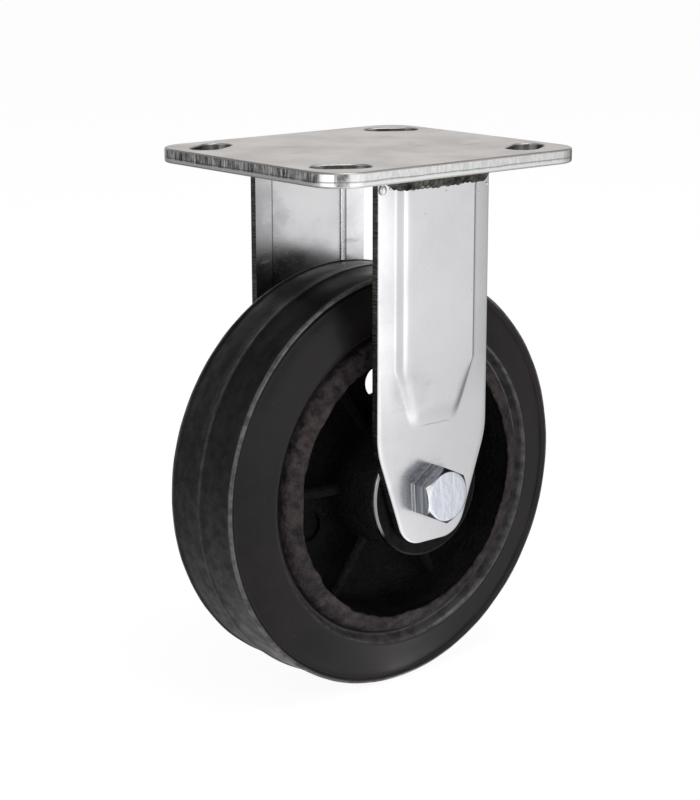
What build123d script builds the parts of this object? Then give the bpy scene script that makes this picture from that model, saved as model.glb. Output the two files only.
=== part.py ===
from build123d import *
import os
from math import atan2, cos, degrees, hypot, pi, radians, sin, tan

# A fixed plate castor of the heavy rubber-on-iron kind.
# Millimetres, +Z up, X the way it rolls, Y along the axle.
# The origin is the centre of the plate's top face, which is what gets bolted on.
# The bolt's head is on the -Y side and its nut on the +Y side.

# Whole castor
wheel_diameter = 152.4
axle_depth = 118.2
fork_gap = 64.2

# Plate and its four slots, each of which runs from a corner of the wide bolt pattern
# to a corner of the square one
plate_length = 114.3
plate_width = 101.6
plate_thickness = 5.1
plate_corner_radius = 12.0
plate_edge_round = 0.7
wide_pattern_end_inset = 11.1
wide_pattern_side_inset = 17.45
square_pattern_inset = 12.7
slot_width = 11.5
slot_edge_round = 0.5

# Legs, pressed from sheet
leg_width = 50.8
leg_sheet = 3.0
leg_edge_round = 0.8
leg_taper_start = 18.5
leg_end_below = 17.9
leg_end_width = 25.5
leg_end_radius = 10.5
leg_side_blend = 30.0

# Raised panel of a leg, which fades out above the axle
panel_width = 37.2
panel_rise = 2.5
panel_bevel = 1.9
panel_taper_start = 46.5
panel_end_above = 24.5
panel_end_width = 20.6
panel_end_radius = 5.0
panel_end_rise = 0.8
panel_round = 1.4
panel_side_blend = 6.0

# Weld along the top of each leg
weld_leg = 5.0
weld_pitch = 3.1
weld_ripple = 0.09
weld_unevenness = 0.05
weld_overlap = 3.0
weld_inset = 0.6
weld_end_leg = 3.2
weld_end_inset = 1.0

# Axle bolt, washer and lock nut
bolt_diameter = 12.0
bolt_clearance = 0.15
bolt_head_height = 8.2
bolt_head_turn = 4.0
bolt_past_nut = 2.2
hex_across_flats = 18.0
hex_chamfer_slope = 30.0
hex_face_share = 0.95
nut_height = 11.4
nut_collar_height = 3.8
nut_collar_wall = 0.9
nut_washer_diameter = 24.0
nut_washer_thickness = 2.4
washer_edge_round = 0.4
nylon_height = 2.6

# Bearing: a tube clamped between the legs, a cage of rollers, and a washer at each end
tube_diameter = 19.0
thrust_washer_diameter = 48.0
thrust_washer_thickness = 3.0
thrust_gap = 0.3
washer_bore_clearance = 0.2
hub_bore = 30.2
roller_count = 8
roller_length = 48.0
roller_edge_round = 0.4
running_clearance = 0.03
cage_wall = 3.2
cage_end_ring = 3.6
cage_pocket_clearance = 0.1

# Cast iron wheel
hub_diameter = 44.0
hub_root_diameter = 49.0
hub_edge_chamfer = 1.0
web_thickness = 5.0
web_blend = 3.0
rim_half_width = 22.6
rim_mouth_wall = 8.3
rim_root_wall = 11.0
rib_count = 6
rib_thickness = 4.0
rib_hub_height = 13.0
rib_rim_height = 9.0
rib_edge_chamfer = 0.9
web_hole_count = 3
web_hole_share = 0.51
web_hole_inset = 2.0
web_hole_turn = 4.0

# Rubber tyre, moulded on the rim and over its edges
rubber_depth = 18.7
tread_half_width = 16.2
tread_fall = 0.7
parting_ridge_height = 0.4
parting_ridge_width = 1.3
shoulder_fall = 1.5
shoulder_groove_depth = 0.9
shoulder_bead_width = 1.1
sidewall_half_width = 21.9
sidewall_foot_rise = 1.7
lip_thickness = 1.2
lip_step = 0.9
lip_inset = 0.4
shoulder_round = 1.0

# Grease nipple in the hub
nipple_offset = 16.0
nipple_angle = 120.0
nipple_spot_diameter = 9.0
nipple_spot_depth = 0.5
nipple_shank_diameter = 5.0
nipple_shank_length = 5.0
nipple_hole_clearance = 0.05
nipple_hex_across_flats = 7.0
nipple_hex_height = 3.2
nipple_neck_diameter = 3.4
nipple_neck_length = 3.4
nipple_head_diameter = 4.8

# Sizes that follow from the ones above
leg_inner = fork_gap / 2
leg_outer = leg_inner + leg_sheet
leg_top = -plate_thickness
bolt_radius = bolt_diameter / 2
bolt_hole_radius = bolt_radius + bolt_clearance
wheel_radius = wheel_diameter / 2
rim_outer_radius = wheel_radius - rubber_depth
rim_mouth_radius = rim_outer_radius - rim_mouth_wall
rim_root_radius = rim_outer_radius - rim_root_wall
web_hole_circle_radius = (hub_root_diameter / 2 + rim_root_radius) / 2 - web_hole_inset
web_hole_diameter = (rim_root_radius - hub_root_diameter / 2) * web_hole_share
wide_pattern_length = plate_length - 2 * wide_pattern_end_inset
wide_pattern_width = plate_width - 2 * wide_pattern_side_inset
square_pattern = plate_width - 2 * square_pattern_inset
hub_half_length = leg_inner - thrust_washer_thickness - thrust_gap
hub_bore_radius = hub_bore / 2
tube_radius = tube_diameter / 2
pitch_radius = (hub_bore_radius + tube_radius) / 2
roller_radius = (hub_bore_radius - tube_radius) / 2 - running_clearance
nut_seat = leg_outer + nut_washer_thickness
nut_end = nut_seat + nut_height + nut_collar_height

axle = Pos(0, 0, -axle_depth)
half_turn = Rot(0, 0, 180)


def outline(points, radii):
    """A face inside straight runs with rounded corners."""
    return make_face(FilletPolyline(*points, radius=radii, close=True))


def turned(points, radii=0):
    """A solid turned about the axle from (along the axle, radius) points."""
    return axle * revolve(Plane.YZ * outline(points, radii), Axis.Y)


def turned_ring(inner_radius, outer_radius, start, end, edge_round=0):
    """A plain ring on the axle, its outer edges rounded."""
    points = [(start, inner_radius), (end, inner_radius), (end, outer_radius), (start, outer_radius)]
    return turned(points, [0, 0, edge_round, edge_round])


def mirrored(points):
    """A closed outline from the points of its +Y half, listed from the inside out."""
    return points + [(-along, radius) for along, radius in reversed(points)]


def hexagon_bar(across_flats, start, end, turn=0):
    """A hexagonal bar on the axle, a corner at the top when it isn't turned."""
    hexagon = RegularPolygon(across_flats / 2, 6, major_radius=False, rotation=30 + turn)
    return axle * extrude(Plane.XZ.offset(-start) * hexagon, start - end)


def chamfered_hexagon(across_flats, start, end, chamfer_start, chamfer_end, turn=0):
    """A hexagonal bar with its corners turned off at the ends that ask for it."""
    face_radius = across_flats / 2 * hex_face_share
    corner_radius = across_flats / 2 / cos(pi / 6)
    depth = (corner_radius - face_radius) * tan(radians(hex_chamfer_slope))
    blank = [(start, 0), (end, 0)]
    blank += [(end, face_radius), (end - depth, corner_radius)] if chamfer_end else [(end, corner_radius)]
    if chamfer_start:
        blank += [(start + depth, corner_radius), (start, face_radius)]
    else:
        blank.append((start, corner_radius))
    return hexagon_bar(across_flats, start, end, turn) & turned(blank)


def slot(side_x, side_y):
    """One slot's outline, in the quarter of the plate that the signs give."""
    wide = (side_x * wide_pattern_length / 2, side_y * wide_pattern_width / 2)
    square = (side_x * square_pattern / 2, side_y * square_pattern / 2)
    run = (wide[0] - square[0], wide[1] - square[1])
    centre = Pos((wide[0] + square[0]) / 2, (wide[1] + square[1]) / 2)
    return centre * SlotCenterToCenter(hypot(*run), slot_width, rotation=degrees(atan2(run[1], run[0])))


def make_top_plate():
    """The plate, with rounded corners, softened edges and four slots."""
    blank = extrude(RectangleRounded(plate_length, plate_width, plate_corner_radius), -plate_thickness)
    plate = fillet(blank.faces().filter_by(Axis.Z).edges(), plate_edge_round)
    for side_x in (-1, 1):
        for side_y in (-1, 1):
            cutter = Pos(0, 0, -plate_thickness) * extrude(slot(side_x, side_y), plate_thickness)
            plate -= cutter
    mouth = plate.faces().sort_by(Axis.Z)[-1].inner_wires().edges()
    return fillet(mouth, slot_edge_round)


def leg_outline():
    """A leg's outline in the plane of its sheet: straight sides, a taper and a rounded foot."""
    taper = leg_taper_start - axle_depth
    foot = -leg_end_below - axle_depth
    half, end_half = leg_width / 2, leg_end_width / 2
    left = [(-half, leg_top), (-half, taper), (-end_half, foot)]
    right = [(end_half, foot), (half, taper), (half, leg_top)]
    radii = [0, leg_side_blend, leg_end_radius, leg_end_radius, leg_side_blend, 0]
    return outline(left + right, radii)


def panel_outline(inset):
    """The raised panel's outline at its foot, drawn in by an inset on each side."""
    above_plate = leg_top + 4 * panel_rise
    taper = panel_taper_start - axle_depth
    low = panel_end_above - axle_depth + inset
    half, end_half = panel_width / 2 - inset, panel_end_width / 2 - inset
    points = [(-half, above_plate), (-half, taper), (-end_half, low), (end_half, low), (half, taper)]
    points.append((half, above_plate))
    return outline(points, [0, panel_side_blend, panel_end_radius, panel_end_radius, panel_side_blend, 0])


def fade_wedge(face):
    """The room that the panel's raised side may fill in front of a face of the sheet: it fades out below."""
    taper = panel_taper_start - axle_depth
    low = panel_end_above - axle_depth
    crest = face + panel_rise
    points = [(-face, 0), (-crest, 0), (-crest, taper), (-face - panel_end_rise, low), (-face, low)]
    return extrude(Plane.YZ * outline(points, 0), leg_width, both=True)


def panel_block(face, inset):
    """The pressed panel as a block standing on a face of the sheet, with its edges rounded."""
    slope = degrees(atan2(panel_bevel, panel_rise))
    block = extrude(Plane.XZ.offset(face) * panel_outline(inset), panel_rise, taper=slope)
    block = block & fade_wedge(face)
    crest = block.faces().filter_by(lambda f: f.normal_at().Y < -0.9).edges()
    rim = crest.filter_by(lambda e: abs(e.center().X) > 1.0)
    return fillet(rim, panel_round)


def panel_recess():
    """The hollow that the pressing leaves behind the panel, on the sheet's inner side."""
    inset = leg_sheet * tan(atan2(panel_rise, panel_bevel) / 2)
    return panel_block(leg_inner, inset)


def make_front_leg():
    """The leg on the -Y side, a pressed sheet with its panel raised outwards."""
    sheet = extrude(Plane.XZ.offset(leg_inner) * leg_outline(), leg_sheet)
    outer_edges = sheet.faces().sort_by(Axis.Y)[0].edges()
    sheet = fillet(outer_edges.filter_by(lambda e: e.center().Z < leg_top - 1), leg_edge_round)
    leg = sheet + panel_block(leg_outer, 0) - panel_recess()
    above_height = 2 * plate_thickness
    above = Pos(0, 0, leg_top + above_height / 2) * Box(2 * leg_width, 4 * leg_outer, above_height)
    hole = turned_ring(0, bolt_hole_radius, -leg_outer - panel_rise, -leg_inner)
    return leg - above - hole


def rippled_bar(start, end):
    """A bar along X whose side rises and falls like the ripples of a weld, with rounded ends."""
    count = max(1, round((end - start - 2 * weld_leg) / weld_pitch))
    pitch = (end - start - 2 * weld_leg) / count
    valley = weld_leg * (1 - weld_ripple)
    edges = [Line((start, 0), (end, 0))]
    edges.append(ThreePointArc((end, 0), (end - 0.3 * weld_leg, 0.75 * valley), (end - weld_leg, valley)))
    for ripple in range(count):
        right = end - weld_leg - ripple * pitch
        crest = weld_leg * (1 + weld_unevenness * sin(2.4 * ripple))
        edges.append(ThreePointArc((right, valley), (right - 0.6 * pitch, crest), (right - pitch, valley)))
    left = start + weld_leg
    edges.append(ThreePointArc((left, valley), (start + 0.3 * weld_leg, 0.75 * valley), (start, 0)))
    return revolve(make_face(Wire(edges)), Axis.X)


def make_front_weld(leg):
    """The bead between the front leg and the plate, which steps out over the raised panel."""
    half, crest_half = leg_width / 2, panel_width / 2 - panel_bevel
    low, high = -leg_outer, -leg_outer - panel_rise
    bead = Pos(0, high, leg_top) * rippled_bar(-crest_half - weld_overlap, crest_half + weld_overlap)
    bead += Pos(0, low, leg_top) * rippled_bar(-half + weld_inset, weld_leg - crest_half + weld_overlap)
    bead += Pos(0, low, leg_top) * rippled_bar(crest_half - weld_leg - weld_overlap, half + weld_end_leg)
    room = 4 * weld_leg
    plate_side = Pos(0, 0, leg_top + room) * Box(2 * leg_width, 4 * leg_outer, 2 * room)
    inside = Pos(0, 0, leg_top) * Box(2 * leg_width, 2 * (leg_inner + weld_end_inset), 2 * room)
    return bead - plate_side - inside - panel_recess() - leg


def make_axle_bolt():
    """The hexagon bolt that carries the wheel."""
    head_end = -leg_outer - bolt_head_height
    tip = nut_end + bolt_past_nut
    tip_chamfer = bolt_radius / 6
    shank = [(-leg_outer, 0), (tip, 0), (tip, bolt_radius - tip_chamfer), (tip - tip_chamfer, bolt_radius)]
    shank.append((-leg_outer, bolt_radius))
    head = chamfered_hexagon(hex_across_flats, head_end, -leg_outer, True, False, bolt_head_turn)
    return head + turned(shank)


def make_lock_nut():
    """The nut, with a turned collar that holds the nylon ring."""
    hexagon = chamfered_hexagon(hex_across_flats, nut_seat, nut_seat + nut_height, True, True)
    collar_radius = hex_across_flats / 2 * hex_face_share
    pocket_radius = collar_radius - nut_collar_wall
    collar = turned_ring(0, collar_radius, nut_seat + nut_height, nut_end)
    shoulder = nut_end - nut_collar_wall - nylon_height
    bore = turned_ring(0, bolt_radius + running_clearance, nut_seat, nut_end)
    pocket = turned_ring(0, pocket_radius, shoulder, shoulder + nylon_height)
    mouth = turned_ring(0, pocket_radius - nut_collar_wall, shoulder, nut_end)
    return hexagon + collar - bore - pocket - mouth


def make_nylon_ring():
    """The ring in the nut's collar that grips the thread."""
    pocket_radius = hex_across_flats / 2 * hex_face_share - nut_collar_wall
    start = nut_end - nut_collar_wall - nylon_height
    return turned_ring(bolt_radius + running_clearance, pocket_radius, start, start + nylon_height)


def make_nut_washer():
    """The flat washer between the nut and the rear leg."""
    return turned_ring(bolt_hole_radius, nut_washer_diameter / 2, leg_outer, nut_seat, washer_edge_round)


def make_spacer_tube():
    """The tube that the rollers run on, clamped between the legs by the bolt."""
    return turned_ring(bolt_hole_radius, tube_radius, -leg_inner, leg_inner)


def make_front_thrust_washer():
    """The washer between the front leg and the hub."""
    bore_radius = tube_radius + washer_bore_clearance
    end = -leg_inner + thrust_washer_thickness
    return turned_ring(bore_radius, thrust_washer_diameter / 2, -leg_inner, end, washer_edge_round)


def roller_place(index):
    """Where a roller's own axis crosses the middle of the wheel."""
    angle = 2 * pi * index / roller_count
    return Pos(pitch_radius * sin(angle), 0, pitch_radius * cos(angle))


def make_roller(index):
    """One bearing roller, lying along the axle."""
    half = roller_length / 2
    points = [(-half, 0), (half, 0), (half, roller_radius), (-half, roller_radius)]
    blank = revolve(Plane.YZ * outline(points, [0, 0, roller_edge_round, roller_edge_round]), Axis.Y)
    return axle * roller_place(index) * blank


def make_roller_cage():
    """The cage that keeps the rollers apart, a tube with a pocket for each."""
    half = roller_length / 2 + cage_pocket_clearance + cage_end_ring
    cage = turned_ring(pitch_radius - cage_wall / 2, pitch_radius + cage_wall / 2, -half, half)
    pocket_width = 2 * (roller_radius + cage_pocket_clearance)
    pocket_length = roller_length + 2 * cage_pocket_clearance
    pocket = Pos(0, 0, pitch_radius) * Box(pocket_width, pocket_length, 2 * cage_wall)
    for index in range(roller_count):
        cage -= axle * Rot(0, 360 * index / roller_count, 0) * pocket
    return cage


def make_wheel_core():
    """The casting: hub, web with ribs and holes, and rim."""
    web_half = web_thickness / 2
    hub_radius, hub_root_radius = hub_diameter / 2, hub_root_diameter / 2
    half = [
        (hub_half_length, hub_bore_radius),
        (hub_half_length, hub_radius - hub_edge_chamfer),
        (hub_half_length - hub_edge_chamfer, hub_radius),
        (web_half + web_blend, hub_root_radius),
        (web_half, hub_root_radius + web_blend),
        (web_half, rim_root_radius - web_blend),
        (web_half + web_blend, rim_root_radius),
        (rim_half_width, rim_mouth_radius),
        (rim_half_width, rim_outer_radius),
    ]
    core = turned(mirrored(half))
    rib_inner = (hub_bore_radius + hub_radius) / 2
    rib_outer = (rim_root_radius + rim_outer_radius) / 2
    rib_points = mirrored([(rib_hub_height, rib_inner), (rib_rim_height, rib_outer)])
    rib = extrude(Plane.YZ * outline(rib_points, 0), rib_thickness / 2, both=True)
    long_edges = rib.edges().filter_by(lambda e: abs(e.center().Y) > web_half and abs(e.center().X) > 1)
    rib = chamfer(long_edges.filter_by(lambda e: e.length > rib_thickness * 2), rib_edge_chamfer)
    hole_length = 4 * web_half
    hole = Pos(0, 0, web_hole_circle_radius) * Rot(90, 0, 0) * Cylinder(web_hole_diameter / 2, hole_length)
    for index in range(rib_count):
        core += axle * Rot(0, 360 / rib_count * (index + 0.5), 0) * rib
    for index in range(web_hole_count):
        core -= axle * Rot(0, 360 / web_hole_count * index + web_hole_turn, 0) * hole
    return core - nipple_hole()


def nipple_place():
    """The nipple's seat: its own Z points away from the axle."""
    return axle * Pos(0, nipple_offset, 0) * Rot(0, nipple_angle, 0)


def nipple_seat_radius():
    """How far from the axle the nipple's hexagon sits, on a flat spot cut in the hub's sloping side."""
    share = (hub_half_length - nipple_offset) / (hub_half_length - web_thickness / 2)
    return (hub_diameter + (hub_root_diameter - hub_diameter) * share) / 2 - nipple_spot_depth


def nipple_hole():
    """The drilling for the grease nipple through the hub's wall, with its flat spot."""
    up = (Align.CENTER, Align.CENTER, Align.MIN)
    drilling = Cylinder(nipple_shank_diameter / 2 + nipple_hole_clearance, nipple_seat_radius(), align=up)
    spot = Pos(0, 0, nipple_seat_radius()) * Cylinder(nipple_spot_diameter / 2, hub_diameter / 4, align=up)
    return nipple_place() * (drilling + spot)


def make_grease_nipple():
    """The grease nipple: shank, hexagon, neck and ball head."""
    up = (Align.CENTER, Align.CENTER, Align.MIN)
    hexagon = extrude(RegularPolygon(nipple_hex_across_flats / 2, 6, major_radius=False), nipple_hex_height)
    shank = Cylinder(nipple_shank_diameter / 2, nipple_shank_length, align=up)
    neck_height = nipple_hex_height + nipple_neck_length
    neck = Cylinder(nipple_neck_diameter / 2, neck_height, align=up)
    head = Pos(0, 0, neck_height) * Sphere(nipple_head_diameter / 2)
    top = Box(nipple_head_diameter, nipple_head_diameter, nipple_head_diameter / 3)
    head -= Pos(0, 0, neck_height + nipple_head_diameter / 2) * top
    nipple = hexagon + Pos(0, 0, -nipple_shank_length) * shank + neck + head
    return nipple_place() * Pos(0, 0, nipple_seat_radius()) * nipple


def make_tyre():
    """The rubber tyre: tread, parting ridge, shoulder beads, sidewalls and a lip over each edge of the rim."""
    ridge_half = parting_ridge_width / 2
    tread_radius = wheel_radius - parting_ridge_height
    shoulder_radius = tread_radius - tread_fall
    bead_radius = wheel_radius - parting_ridge_height - shoulder_fall
    bead_out = tread_half_width + shoulder_bead_width
    groove_radius = bead_radius - 2 * shoulder_groove_depth
    foot_radius = rim_outer_radius + sidewall_foot_rise
    lip_outer = rim_half_width + lip_thickness
    lip_inner_radius = rim_mouth_radius + lip_inset
    half = [
        (0, rim_outer_radius),
        (rim_half_width, rim_outer_radius),
        (rim_half_width, lip_inner_radius),
        (lip_outer, lip_inner_radius),
        (sidewall_half_width + lip_step, foot_radius - lip_step),
        (sidewall_half_width - lip_step / 2, foot_radius - lip_step / 2),
        (sidewall_half_width, foot_radius + lip_step / 2),
        (bead_out, groove_radius - shoulder_groove_depth),
        (bead_out - shoulder_groove_depth / 2, groove_radius),
        (bead_out, bead_radius),
        (tread_half_width, shoulder_radius),
        (ridge_half + parting_ridge_height, tread_radius),
        (ridge_half / 2, wheel_radius),
    ]
    radii = [0] * 10 + [shoulder_round, 0, 0]
    outer = half + [(-along, radius) for along, radius in reversed(half[1:])]
    return turned(outer, radii + radii[:0:-1])


top_plate = make_top_plate()
front_leg = make_front_leg()
front_weld = make_front_weld(front_leg)
front_thrust_washer = make_front_thrust_washer()

parts = {
    "top_plate": top_plate,
    "front_leg": front_leg,
    "rear_leg": half_turn * front_leg,
    "front_weld": front_weld,
    "rear_weld": half_turn * front_weld,
    "axle_bolt": make_axle_bolt(),
    "lock_nut": make_lock_nut(),
    "nylon_ring": make_nylon_ring(),
    "nut_washer": make_nut_washer(),
    "spacer_tube": make_spacer_tube(),
    "front_thrust_washer": front_thrust_washer,
    "rear_thrust_washer": half_turn * front_thrust_washer,
    "wheel_core": make_wheel_core(),
    "tyre": make_tyre(),
    "grease_nipple": make_grease_nipple(),
    "roller_cage": make_roller_cage(),
}
for index in range(roller_count):
    parts[f"roller_{index + 1}"] = make_roller(index)

os.makedirs("parts", exist_ok=True)
for name, shape in parts.items():
    export_step(shape, f"parts/{name}.step")
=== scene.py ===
"""A fixed plate castor, dressed on its CAD frame: zinc-plated steel, cast iron and moulded rubber."""

import logging
import math
from dataclasses import dataclass
from enum import Enum
from typing import Callable, Dict, List, NamedTuple, Optional, Sequence, Tuple, Union

import bmesh
import bpy
from mathutils import Matrix, Vector, noise


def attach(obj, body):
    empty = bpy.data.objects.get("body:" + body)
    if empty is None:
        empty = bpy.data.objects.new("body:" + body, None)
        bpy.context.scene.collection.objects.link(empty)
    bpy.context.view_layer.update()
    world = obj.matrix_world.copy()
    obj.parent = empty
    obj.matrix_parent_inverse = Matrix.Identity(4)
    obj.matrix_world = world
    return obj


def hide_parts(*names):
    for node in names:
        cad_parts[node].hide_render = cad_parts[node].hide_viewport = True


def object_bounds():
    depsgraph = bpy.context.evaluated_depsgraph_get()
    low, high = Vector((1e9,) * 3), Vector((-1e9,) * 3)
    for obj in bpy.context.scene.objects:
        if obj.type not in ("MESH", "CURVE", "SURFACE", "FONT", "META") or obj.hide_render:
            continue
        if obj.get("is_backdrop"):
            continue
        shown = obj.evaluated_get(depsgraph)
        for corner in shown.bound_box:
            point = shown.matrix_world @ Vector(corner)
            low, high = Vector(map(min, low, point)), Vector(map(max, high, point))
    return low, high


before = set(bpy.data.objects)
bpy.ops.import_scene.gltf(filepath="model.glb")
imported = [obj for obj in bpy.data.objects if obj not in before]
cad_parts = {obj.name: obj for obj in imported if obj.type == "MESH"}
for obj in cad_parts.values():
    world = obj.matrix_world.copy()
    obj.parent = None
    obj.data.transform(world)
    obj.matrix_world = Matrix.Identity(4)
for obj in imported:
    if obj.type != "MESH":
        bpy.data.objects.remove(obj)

LOG = logging.getLogger("castor")

Colour = Tuple[float, float, float]
Value = Union[float, int, Sequence[float], bpy.types.NodeSocket]

MM = 0.001
AXLE_DEPTH = 118.2 * MM
WHEEL_RADIUS = 76.2 * MM
AXLE = Vector((0.0, 0.0, -AXLE_DEPTH))
FLOOR_Z = -AXLE_DEPTH - WHEEL_RADIUS
ROLLERS = 8
MERGE = 0.01 * MM
SHARP_ANGLE = math.radians(32)
METAL: Dict[str, Value] = {"Metallic": 1.0}


class Body(Enum):
    """The bodies that pieces ride on."""

    BRACKET = "bracket"
    WHEEL = "wheel"


class Slot(Enum):
    """The record's material slots, one for each kind of new piece."""

    LEG = "leg_zinc"
    WELD = "weld"
    FASTENER = "fastener_zinc"
    RUBBER = "rubber"
    IRON = "cast_iron"


def add_node(tree: bpy.types.NodeTree, kind: str, inputs: Optional[Dict[Union[str, int], Value]] = None,
             **settings: object) -> bpy.types.Node:
    """Adds a node and fills its inputs.

    Args:
        tree: the node tree that gets the node.
        kind: the node's type name.
        inputs: a value or a socket to link, for each input's name or number.
        **settings: the node's own properties.

    Returns:
        The new node.
    """
    made = tree.nodes.new(kind)
    for name, setting in settings.items():
        setattr(made, name, setting)
    for key, value in (inputs or {}).items():
        if isinstance(value, bpy.types.NodeSocket):
            tree.links.new(value, made.inputs[key])
        else:
            made.inputs[key].default_value = value
    return made


def maths(tree: bpy.types.NodeTree, operation: str, *values: Value) -> bpy.types.NodeSocket:
    """Adds a Math node and gives back its result.

    Args:
        tree: the node tree.
        operation: the sum to do.
        *values: its terms, as numbers or sockets.

    Returns:
        The result's socket.
    """
    return add_node(tree, "ShaderNodeMath", dict(enumerate(values)), operation=operation).outputs[0]


def ramp(tree: bpy.types.NodeTree, value: Value, start: Value, end: Value, low: Value = 0.0,
         high: Value = 1.0) -> bpy.types.NodeSocket:
    """Turns one range of a value smoothly into another.

    Args:
        tree: the node tree.
        value: the value to turn.
        start: where the change starts.
        end: where it ends.
        low: the result at the start.
        high: the result at the end.

    Returns:
        The result's socket.
    """
    spots = {"Value": value, "From Min": start, "From Max": end, "To Min": low, "To Max": high}
    return add_node(tree, "ShaderNodeMapRange", spots, interpolation_type="SMOOTHSTEP").outputs["Result"]


def blend(tree: bpy.types.NodeTree, mask: Value, low: Value, high: Value) -> bpy.types.NodeSocket:
    """Mixes two colours by a mask.

    Args:
        tree: the node tree.
        mask: how much of the second colour shows.
        low: the first colour.
        high: the second colour.

    Returns:
        The mixed colour's socket.
    """
    node = add_node(tree, "ShaderNodeMix", data_type="RGBA")
    for key, value in ((0, mask), (6, low), (7, high)):
        if isinstance(value, bpy.types.NodeSocket):
            tree.links.new(value, node.inputs[key])
        elif isinstance(value, (int, float)):
            node.inputs[key].default_value = value
        else:
            node.inputs[key].default_value = (*value[:3], 1.0)
    return node.outputs[2]


def rounded_corner(before: Vector, corner: Vector, after: Vector, radius: float, steps: int) -> List[Vector]:
    """Points along the arc that rounds a corner of an outline.

    Args:
        before: the point before the corner.
        corner: the corner.
        after: the point after it.
        radius: the arc's radius.
        steps: how many pieces the arc has.

    Returns:
        The arc's points, in order.
    """
    inward, onward = (before - corner).normalized(), (after - corner).normalized()
    half = inward.angle(onward) / 2
    reach = radius / math.tan(half)
    centre = corner + (inward + onward).normalized() * (radius / math.sin(half))
    start, end = corner + inward * reach - centre, corner + onward * reach - centre
    turn = start.angle(end)
    arc = []
    for step in range(steps + 1):
        share = step / steps
        spoke = start * math.sin((1 - share) * turn) + end * math.sin(share * turn)
        arc.append(centre + spoke / math.sin(turn))
    return arc


def spin_section(mesh: bmesh.types.BMesh, section: Sequence[Tuple[float, float]], steps: int) -> None:
    """Spins a closed section once round the Y axis and merges the seam.

    Args:
        mesh: the mesh that gets the shape.
        section: its points, as (way along Y, radius).
        steps: how many steps the turn has.
    """
    corners = [mesh.verts.new((0.0, along, radius)) for along, radius in section]
    edges = [mesh.edges.new(pair) for pair in zip(corners, corners[1:] + corners[:1])]
    bmesh.ops.spin(mesh, geom=corners + edges, cent=(0, 0, 0), axis=(0, 1, 0), dvec=(0, 0, 0),
                   angle=2 * math.pi, steps=steps, use_merge=True, use_duplicate=False)
    bmesh.ops.remove_doubles(mesh, verts=mesh.verts, dist=MERGE)


def bridge(mesh: bmesh.types.BMesh, rows: Sequence[Sequence[bmesh.types.BMVert]], closed: bool) -> None:
    """Lays faces between rows of points that follow one another.

    Args:
        mesh: the mesh that gets the faces.
        rows: the rows, all of one length.
        closed: whether each row is a ring.
    """
    for before, after in zip(rows, rows[1:]):
        for index in range(len(before) if closed else len(before) - 1):
            following = (index + 1) % len(before)
            mesh.faces.new((before[index], before[following], after[following], after[index]))


def end_name(side: int) -> str:
    """The name of the end that a side lies on: the bolt's head is on the front, the nut on the rear."""
    return "front" if side < 0 else "rear"


def add_object(name: str, data: bpy.types.ID) -> bpy.types.Object:
    """Puts a new object in the scene.

    Args:
        name: the object's name.
        data: its mesh, lamp or camera.

    Returns:
        The object.
    """
    made = bpy.data.objects.new(name, data)
    bpy.context.scene.collection.objects.link(made)
    return made


def smooth_share(value: float, start: float, end: float) -> float:
    """How far a value has come from a start to an end, with a soft beginning and end."""
    share = min(1.0, max(0.0, (value - start) / (end - start)))
    return share * share * (3 - 2 * share)


@dataclass(frozen=True)
class Room:
    """How bright the studio looks from the castor, as (degrees round from +X towards +Y, level)."""

    top_level: float = 2.0
    ceiling: float = 0.20
    low: float = 0.34
    high: float = 0.58
    floor_levels: Tuple[Tuple[float, float], ...] = (
        (-180, 0.75), (-158, 1.0), (-130, 1.0), (-108, 1.2), (-88, 1.9), (-66, 1.85), (-52, 1.05),
        (-40, 0.80), (-24, 0.42), (0, 0.20), (50, 0.12), (100, 0.12), (128, 0.22), (150, 0.45), (180, 0.75),
    )
    wall_levels: Tuple[Tuple[float, float], ...] = (
        (-180, 0.7), (-130, 0.9), (-90, 1.2), (-50, 0.9), (-24, 0.45), (0, 0.35), (25, 0.6), (45, 1.08),
        (62, 1.08), (85, 0.5), (130, 0.25), (180, 0.7),
    )


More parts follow.
